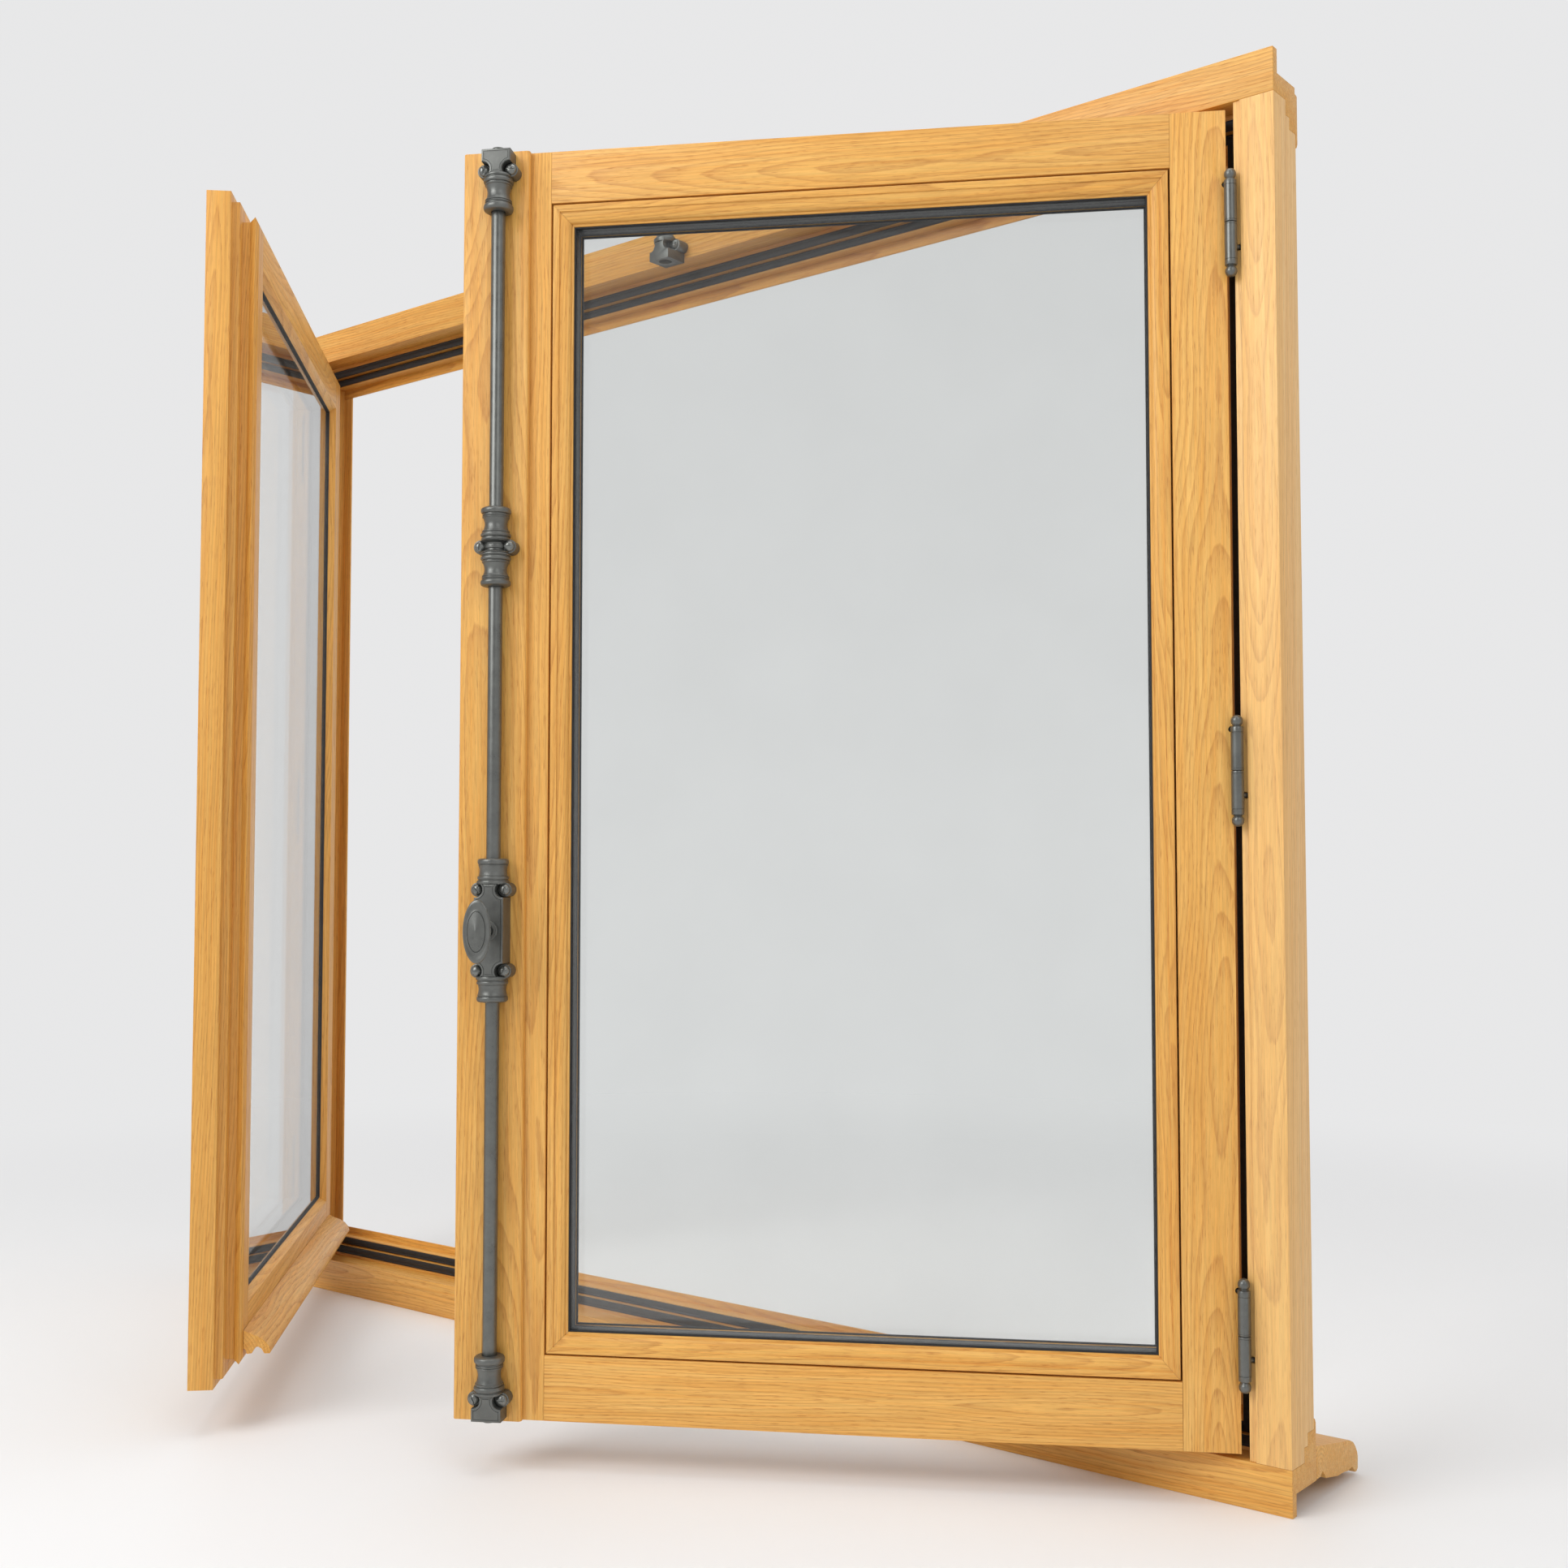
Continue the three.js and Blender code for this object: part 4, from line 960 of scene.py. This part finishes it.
ROD_START, RACK_END = 36 * MM, 39 * MM  # up the rods from the pinion's axis
RACK_NEAR, RACK_FAR = 6.37 * MM, 9.37 * MM  # a rack's faces, across from the rods' axis
RACK_TEETH = 22
PINION_TEETH = 10


class CASEMENT_OT_rods(bpy.types.Operator):
    """Makes the two locking rods with their racks"""

    bl_idname = "casement.rods"
    bl_label = "Locking rods"

    def execute(self, context):
        s = settings().iron
        metal = iron("Rod iron", s.body, s.roughness - 0.05, 0.45)
        c = Cremone()
        mid = c.place.middle("knob_rose")
        for node, body, up in (("rod_top", "top_rod", 1), ("rod_bottom", "bottom_rod", -1)):
            low, high = c.place.box(node)
            tip, end = (high.z, low.z) if up > 0 else (low.z, high.z)
            rows = on_axis([(0, 0), (7.2, 0), (8, 0.8)], mid + up * ROD_START, up)
            rows += on_axis([(8, -1.6), (7.5, -0.5), (6.4, 0), (0, 0)], tip, up)
            solid = Solid()
            solid.turned(rows, (c.x, c.y, 0), segments=48)
            side = 1 if high.x - c.x > c.x - low.x + 1e-5 else -1
            near, far, root = RACK_NEAR * side, RACK_FAR * side, mid + up * RACK_END
            line = [(near, end), (far, end), (far, root), (near, root)]
            step = (root - end) / RACK_TEETH
            for i in range(RACK_TEETH - 1, 0, -1):
                z = end + step * i
                line += [(near + side * 0.9 * MM, z + step * 0.25), (near, z - step * 0.25)]
            c.block(solid, line, 0.0, c.y + 4 * MM, c.y - 4 * MM)
            solid.finish(c.place, f"locking_{node}", metal, "cremone_iron", [node], body)
        return {"FINISHED"}


class CASEMENT_OT_knob(bpy.types.Operator):
    """Makes the oval knob, its neck and its spindle"""

    bl_idname = "casement.knob"
    bl_label = "Knob"

    def execute(self, context):
        s = settings().iron
        metal = iron("Knob iron", s.body, s.roughness - 0.04, 0.6)
        c = Cremone()
        low, high = c.place.box("knob")
        tall, wide = [(high[axis] - low[axis]) / 2 / MM for axis in (2, 0)]
        at = (c.x, 0, c.place.middle("knob"))
        back = high.y / MM
        rim = low.y / MM + 5.4
        # from back to front: share of the knob's height, distance from its rim
        shell = [(0.55, 8.2), (0.8, 4.6), (0.93, 2.2), (0.985, 0.9), (1, 0), (0.985, -1.0)]
        shell += [(0.95, -1.7), (0.90, -2.0), (0.86, -1.9), (0.80, -1.45), (0.74, -1.35)]
        shell += [(0.68, -1.6), (0.655, -1.8), (0.645, -1.1), (0.63, -1.1), (0.62, -2.1)]
        shell += [(0.45, -2.9), (0.25, -3.9), (0.10, -4.75), (0.04, -5.2), (0, -5.4)]
        rows = [(0, rim + 11), (7.5, rim + 11)]
        rows += [(tall * part, rim + ahead) for part, ahead in shell]
        solid = Solid()
        solid.turned(on_axis(rows, 0), at, "Y", 96, wide / tall)
        neck = [(0, rim + 4), (7.6, rim + 7), (7.8, rim + 9.5), (6.6, rim + 11.5)]
        neck += [(5.7, rim + 14), (5.3, rim + 20), (5.4, back - 8), (5.8, back - 5)]
        neck += [(6.0, back - 4), (6.0, back), (0, back)]
        solid.turned(on_axis(neck, 0), at, "Y", 48)
        solid.finish(c.place, "casting_knob", metal, "cremone_iron", ["knob"], "knob")
        self.spindle(c, metal)
        return {"FINISHED"}

    def spindle(self, c, metal):
        low, high = c.place.box("knob_spindle")
        mid = c.place.middle("knob_spindle")
        outer = (high.z - low.z) / 2
        line = []
        for i in range(PINION_TEETH * 4):
            angle = 2 * math.pi * i / (PINION_TEETH * 4)
            radius = outer if i % 4 in (0, 1) else outer - 1.0 * MM
            line.append((radius * math.cos(angle), radius * math.sin(angle)))
        solid = Solid()
        c.block(solid, line, mid, high.y, high.y - 10 * MM, 0.3 * MM)
        square = 2.9 * MM
        corners = [(square, -square), (square, square), (-square, square), (-square, -square)]
        c.block(solid, corners, mid, high.y - 10.1 * MM, low.y, 0.4 * MM)
        solid.finish(c.place, "pinion_knob_spindle", metal, "cremone_iron", ["knob_spindle"], "knob")


def screw_tree():
    """Geometry Nodes: a slotted round-headed screw on each point, each turned by its own angle."""
    tree = bpy.data.node_groups.new("Slotted screws", "GeometryNodeTree")
    sockets(tree, "INPUT", [
        ("Geometry", "Geometry"),
        ("Head radius", "Float", 0.0056),
        ("Head height", "Float", 0.0042),
        ("Slot width", "Float", 0.0011),
        ("Slot depth", "Float", 0.0016),
        ("Aim", "Rotation"),
        ("Seed", "Int", 3),
        ("Metal", "Material"),
    ])
    sockets(tree, "OUTPUT", [("Geometry", "Geometry")])
    t = Tree(tree)
    o, result = t.node("NodeGroupInput").outputs, t.node("NodeGroupOutput")
    radius, height = o["Head radius"], o["Head height"]
    ball = t.node("GeometryNodeMeshUVSphere", {"Segments": 28, "Rings": 16, "Radius": 1.0})
    size = t.node("ShaderNodeCombineXYZ", {0: radius, 1: radius, 2: height})
    head = t.node("GeometryNodeTransform", {"Geometry": ball, "Scale": size})
    slot = {0: t.mul(radius, 3.0), 1: o["Slot width"], 2: t.mul(o["Slot depth"], 2.0)}
    cutter = t.node("GeometryNodeMeshCube", {"Size": t.node("ShaderNodeCombineXYZ", slot)})
    above = t.node("ShaderNodeCombineXYZ", {0: 0.0, 1: 0.0, 2: height})
    moved = t.node("GeometryNodeTransform", {"Geometry": cutter, "Translation": above})
    cut = t.node("GeometryNodeMeshBoolean", {"Mesh 1": head, "Mesh 2": moved}, operation="DIFFERENCE")
    # sockets 3 and 1 are the greatest value and the result as plain numbers
    spin = t.node("FunctionNodeRandomValue", {3: 3.0, "Seed": o["Seed"]}, data_type="FLOAT")
    own = t.node("FunctionNodeAxisAngleToRotation", {"Axis": (0, 0, 1), "Angle": spin.outputs[1]})
    aimed = t.node("FunctionNodeRotateRotation", {0: o["Aim"], 1: own}, rotation_space="LOCAL")
    spots = {"Points": o["Geometry"], "Instance": cut, "Rotation": aimed}
    placed = t.node("GeometryNodeInstanceOnPoints", spots)
    real = t.node("GeometryNodeRealizeInstances", {"Geometry": placed})
    t.feed(result, {0: t.node("GeometryNodeSetMaterial", {"Geometry": real, "Material": o["Metal"]})})
    return tree


class CASEMENT_OT_screws(bpy.types.Operator):
    """Makes the slotted screws of the bolt and of its keepers"""

    bl_idname = "casement.screws"
    bl_label = "Screws"

    def execute(self, context):
        s = settings().iron
        metal = iron("Screw iron", [c * 1.25 for c in s.body], s.roughness - 0.08, 0.4)
        tree = screw_tree()
        c = Cremone()
        points = []
        for node in EAR_OUT:
            y = c.seat - EAR_OUT[node] - 0.2 * MM
            points += [c.place.matrix @ Vector((c.x + x, y, z)) for x, z in c.ears(node)]
        out = c.place.matrix.to_3x3() @ Vector((0, -1, 0))
        self.place_screws(tree, "screws_cremone", points, out, metal, "right_sash", 4)
        points = []
        for node in ("keeper_top", "keeper_bottom"):
            low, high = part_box(node)
            z = low.z + 21 * MM if node == "keeper_top" else high.z - 21 * MM
            x = (low.x + high.x) / 2
            points += [Vector((x + side, high.y - 18.2 * MM, z)) for side in (-16 * MM, 16 * MM)]
        self.place_screws(tree, "screws_keepers", points, Vector((0, -1, 0)), metal, "frame", 9)
        return {"FINISHED"}

    def place_screws(self, tree, name, points, out, metal, body, seed):
        s = settings().iron
        mesh = bpy.data.meshes.new(f"{name}_points")
        mesh.from_pydata([tuple(p) for p in points], [], [])
        holder = linked(f"{name}_points", mesh)
        modifier = holder.modifiers.new("Slotted screws", "NODES")
        modifier.node_group = tree
        values = {
            "Head radius": s.screw_radius, "Head height": s.screw_height, "Slot width": s.slot_width,
            "Slot depth": 1.7 * MM, "Seed": seed, "Metal": metal,
            "Aim": Vector((0, 0, 1)).rotation_difference(out).to_euler(),
        }
        for item in tree.interface.items_tree:
            if item.in_out == "INPUT" and item.name in values:
                modifier[item.identifier] = values[item.name]
        bpy.context.view_layer.update()
        view = bpy.context.evaluated_depsgraph_get()
        bm = bmesh.new()
        bm.from_mesh(bpy.data.meshes.new_from_object(holder.evaluated_get(view)))
        bpy.data.objects.remove(holder)
        if not bm.faces:
            raise RuntimeError(f"{name} came out empty")
        bmesh.ops.remove_doubles(bm, verts=bm.verts, dist=1e-7)
        bmesh.ops.recalc_face_normals(bm, faces=bm.faces)
        finish_mesh(bm, name, metal, body, (), 30)


# ---------------- stage


@material
def studio_floor(tree, shader):
    """A pale floor that fades into the backdrop away from the window."""
    radius = tree.length(tree.scaled(tree.place(), (1, 1, 0)))
    far = tree.spread(radius, 0.9, 3.0, interpolation_type="SMOOTHSTEP")
    tree.feed(shader, {"Base Color": (0.86, 0.86, 0.86, 1), "Roughness": 0.6})
    glow = tree.node("ShaderNodeEmission", {"Color": (*settings().stage.backdrop, 1), "Strength": 1.0})
    mix = tree.node("ShaderNodeMixShader", {0: far, 1: shader, 2: glow})
    tree.feed(tree.nodes["Material Output"], {"Surface": mix})


FLOOR_RADIUS = 60
LENS, SENSOR = 40.955, 36.0
CAMERA_AT = (1.6436, -1.8287, 0.6465)
CAMERA_TILT, CAMERA_TURN = math.radians(92.809), math.radians(38.855)
# name, place, what it faces, size and the setting that holds its power
SOFTBOXES = (
    ("key_softbox", (-0.6, -3.9, 3.0), (0, -0.2, 0.8), 2.6, "key"),
    ("side_softbox", (3.6, -2.0, 3.4), (0, -0.2, 0.7), 2.2, "fill"),
    ("top_softbox", (0.3, -0.4, 3.9), (0, -0.2, 0), 2.4, "top"),
)


class CASEMENT_OT_stage(bpy.types.Operator):
    """Makes the pale floor, the studio light and the camera"""

    bl_idname = "casement.stage"
    bl_label = "Studio"

    def execute(self, context):
        s = settings().stage
        scene = context.scene
        scene.view_settings.view_transform = "Standard"
        self.floor()
        self.world(scene, s)
        for name, at, target, size, setting in SOFTBOXES:
            data = bpy.data.lights.new(name, "AREA")
            data.shape = "SQUARE"
            data.size = size
            data.energy = getattr(s, setting)
            light = linked(name, data)
            light.location = at
            light.rotation_euler = (Vector(target) - Vector(at)).to_track_quat("-Z", "Y").to_euler()
        lens = bpy.data.cameras.new("camera")
        lens.lens, lens.sensor_width, lens.clip_end = LENS, SENSOR, 200
        camera = linked("camera", lens)
        camera.location = CAMERA_AT
        camera.rotation_euler = (CAMERA_TILT, 0, CAMERA_TURN)
        scene.camera = camera
        return {"FINISHED"}

    def floor(self):
        bm = bmesh.new()
        place = Matrix.Translation((0, 0, CAD_BOX[0][2]))
        bmesh.ops.create_circle(bm, cap_ends=True, radius=FLOOR_RADIUS, segments=96, matrix=place)
        mesh = bpy.data.meshes.new("studio_floor")
        bm.to_mesh(mesh)
        bm.free()
        mesh.materials.append(studio_floor("Studio floor"))
        linked("studio_floor", mesh)

    def world(self, scene, s):
        world = bpy.data.worlds.new("Studio")
        scene.world = world
        world.use_nodes = True
        tree = Tree(world.node_tree)
        ray = tree.node("ShaderNodeLightPath").outputs
        toward = tree.node("ShaderNodeSeparateXYZ", {0: tree.place("Generated")}).outputs
        # reflections of the studio fade in front of the window and above the horizon
        front = tree.mul(tree.spread(toward[1], 0.25, -0.35), tree.spread(toward[2], 0.0, 0.5))
        glossy = tree.mul(tree.mul(ray["Is Glossy Ray"], front), 0.7)
        diffuse = tree.mul(ray["Is Diffuse Ray"], 1 - s.ambient)
        tree.feed(world.node_tree.nodes["Background"], {
            "Color": (*s.backdrop, 1), "Strength": tree.sub(tree.sub(1.0, diffuse), glossy),
        })


# ---------------- panel and run

OPERATORS = (
    CASEMENT_OT_stage,
    CASEMENT_OT_frame_woodwork,
    CASEMENT_OT_sash_woodwork,
    CASEMENT_OT_beads,
    CASEMENT_OT_glazing,
    CASEMENT_OT_gaskets,
    CASEMENT_OT_hinges,
    CASEMENT_OT_cremone,
    CASEMENT_OT_rods,
    CASEMENT_OT_knob,
    CASEMENT_OT_screws,
)


class CASEMENT_PT_panel(bpy.types.Panel):
    bl_idname = "CASEMENT_PT_panel"
    bl_label = "Casement window"
    bl_space_type = "VIEW_3D"
    bl_region_type = "UI"
    bl_category = "Casement"

    def draw(self, context):
        for group in ("oak", "iron", "glazing", "stage"):
            values = getattr(context.scene.casement, group)
            box = self.layout.box()
            box.label(text=group.capitalize())
            for key in values.__annotations__:
                box.prop(values, key)
        for operator in OPERATORS:
            self.layout.operator(operator.bl_idname)


CLASSES = (
    CASEMENT_PG_oak,
    CASEMENT_PG_iron,
    CASEMENT_PG_glazing,
    CASEMENT_PG_stage,
    CASEMENT_PG_all,
    *OPERATORS,
    CASEMENT_PT_panel,
)


def register():
    for cls in CLASSES:
        bpy.utils.register_class(cls)
    bpy.types.Scene.casement = bpy.props.PointerProperty(type=CASEMENT_PG_all)


def unregister():
    del bpy.types.Scene.casement
    for cls in reversed(CLASSES):
        bpy.utils.unregister_class(cls)


def main():
    register()
    for operator in OPERATORS:
        group, name = operator.bl_idname.split(".")
        getattr(getattr(bpy.ops, group), name)()


if __name__ == "__main__":
    main()
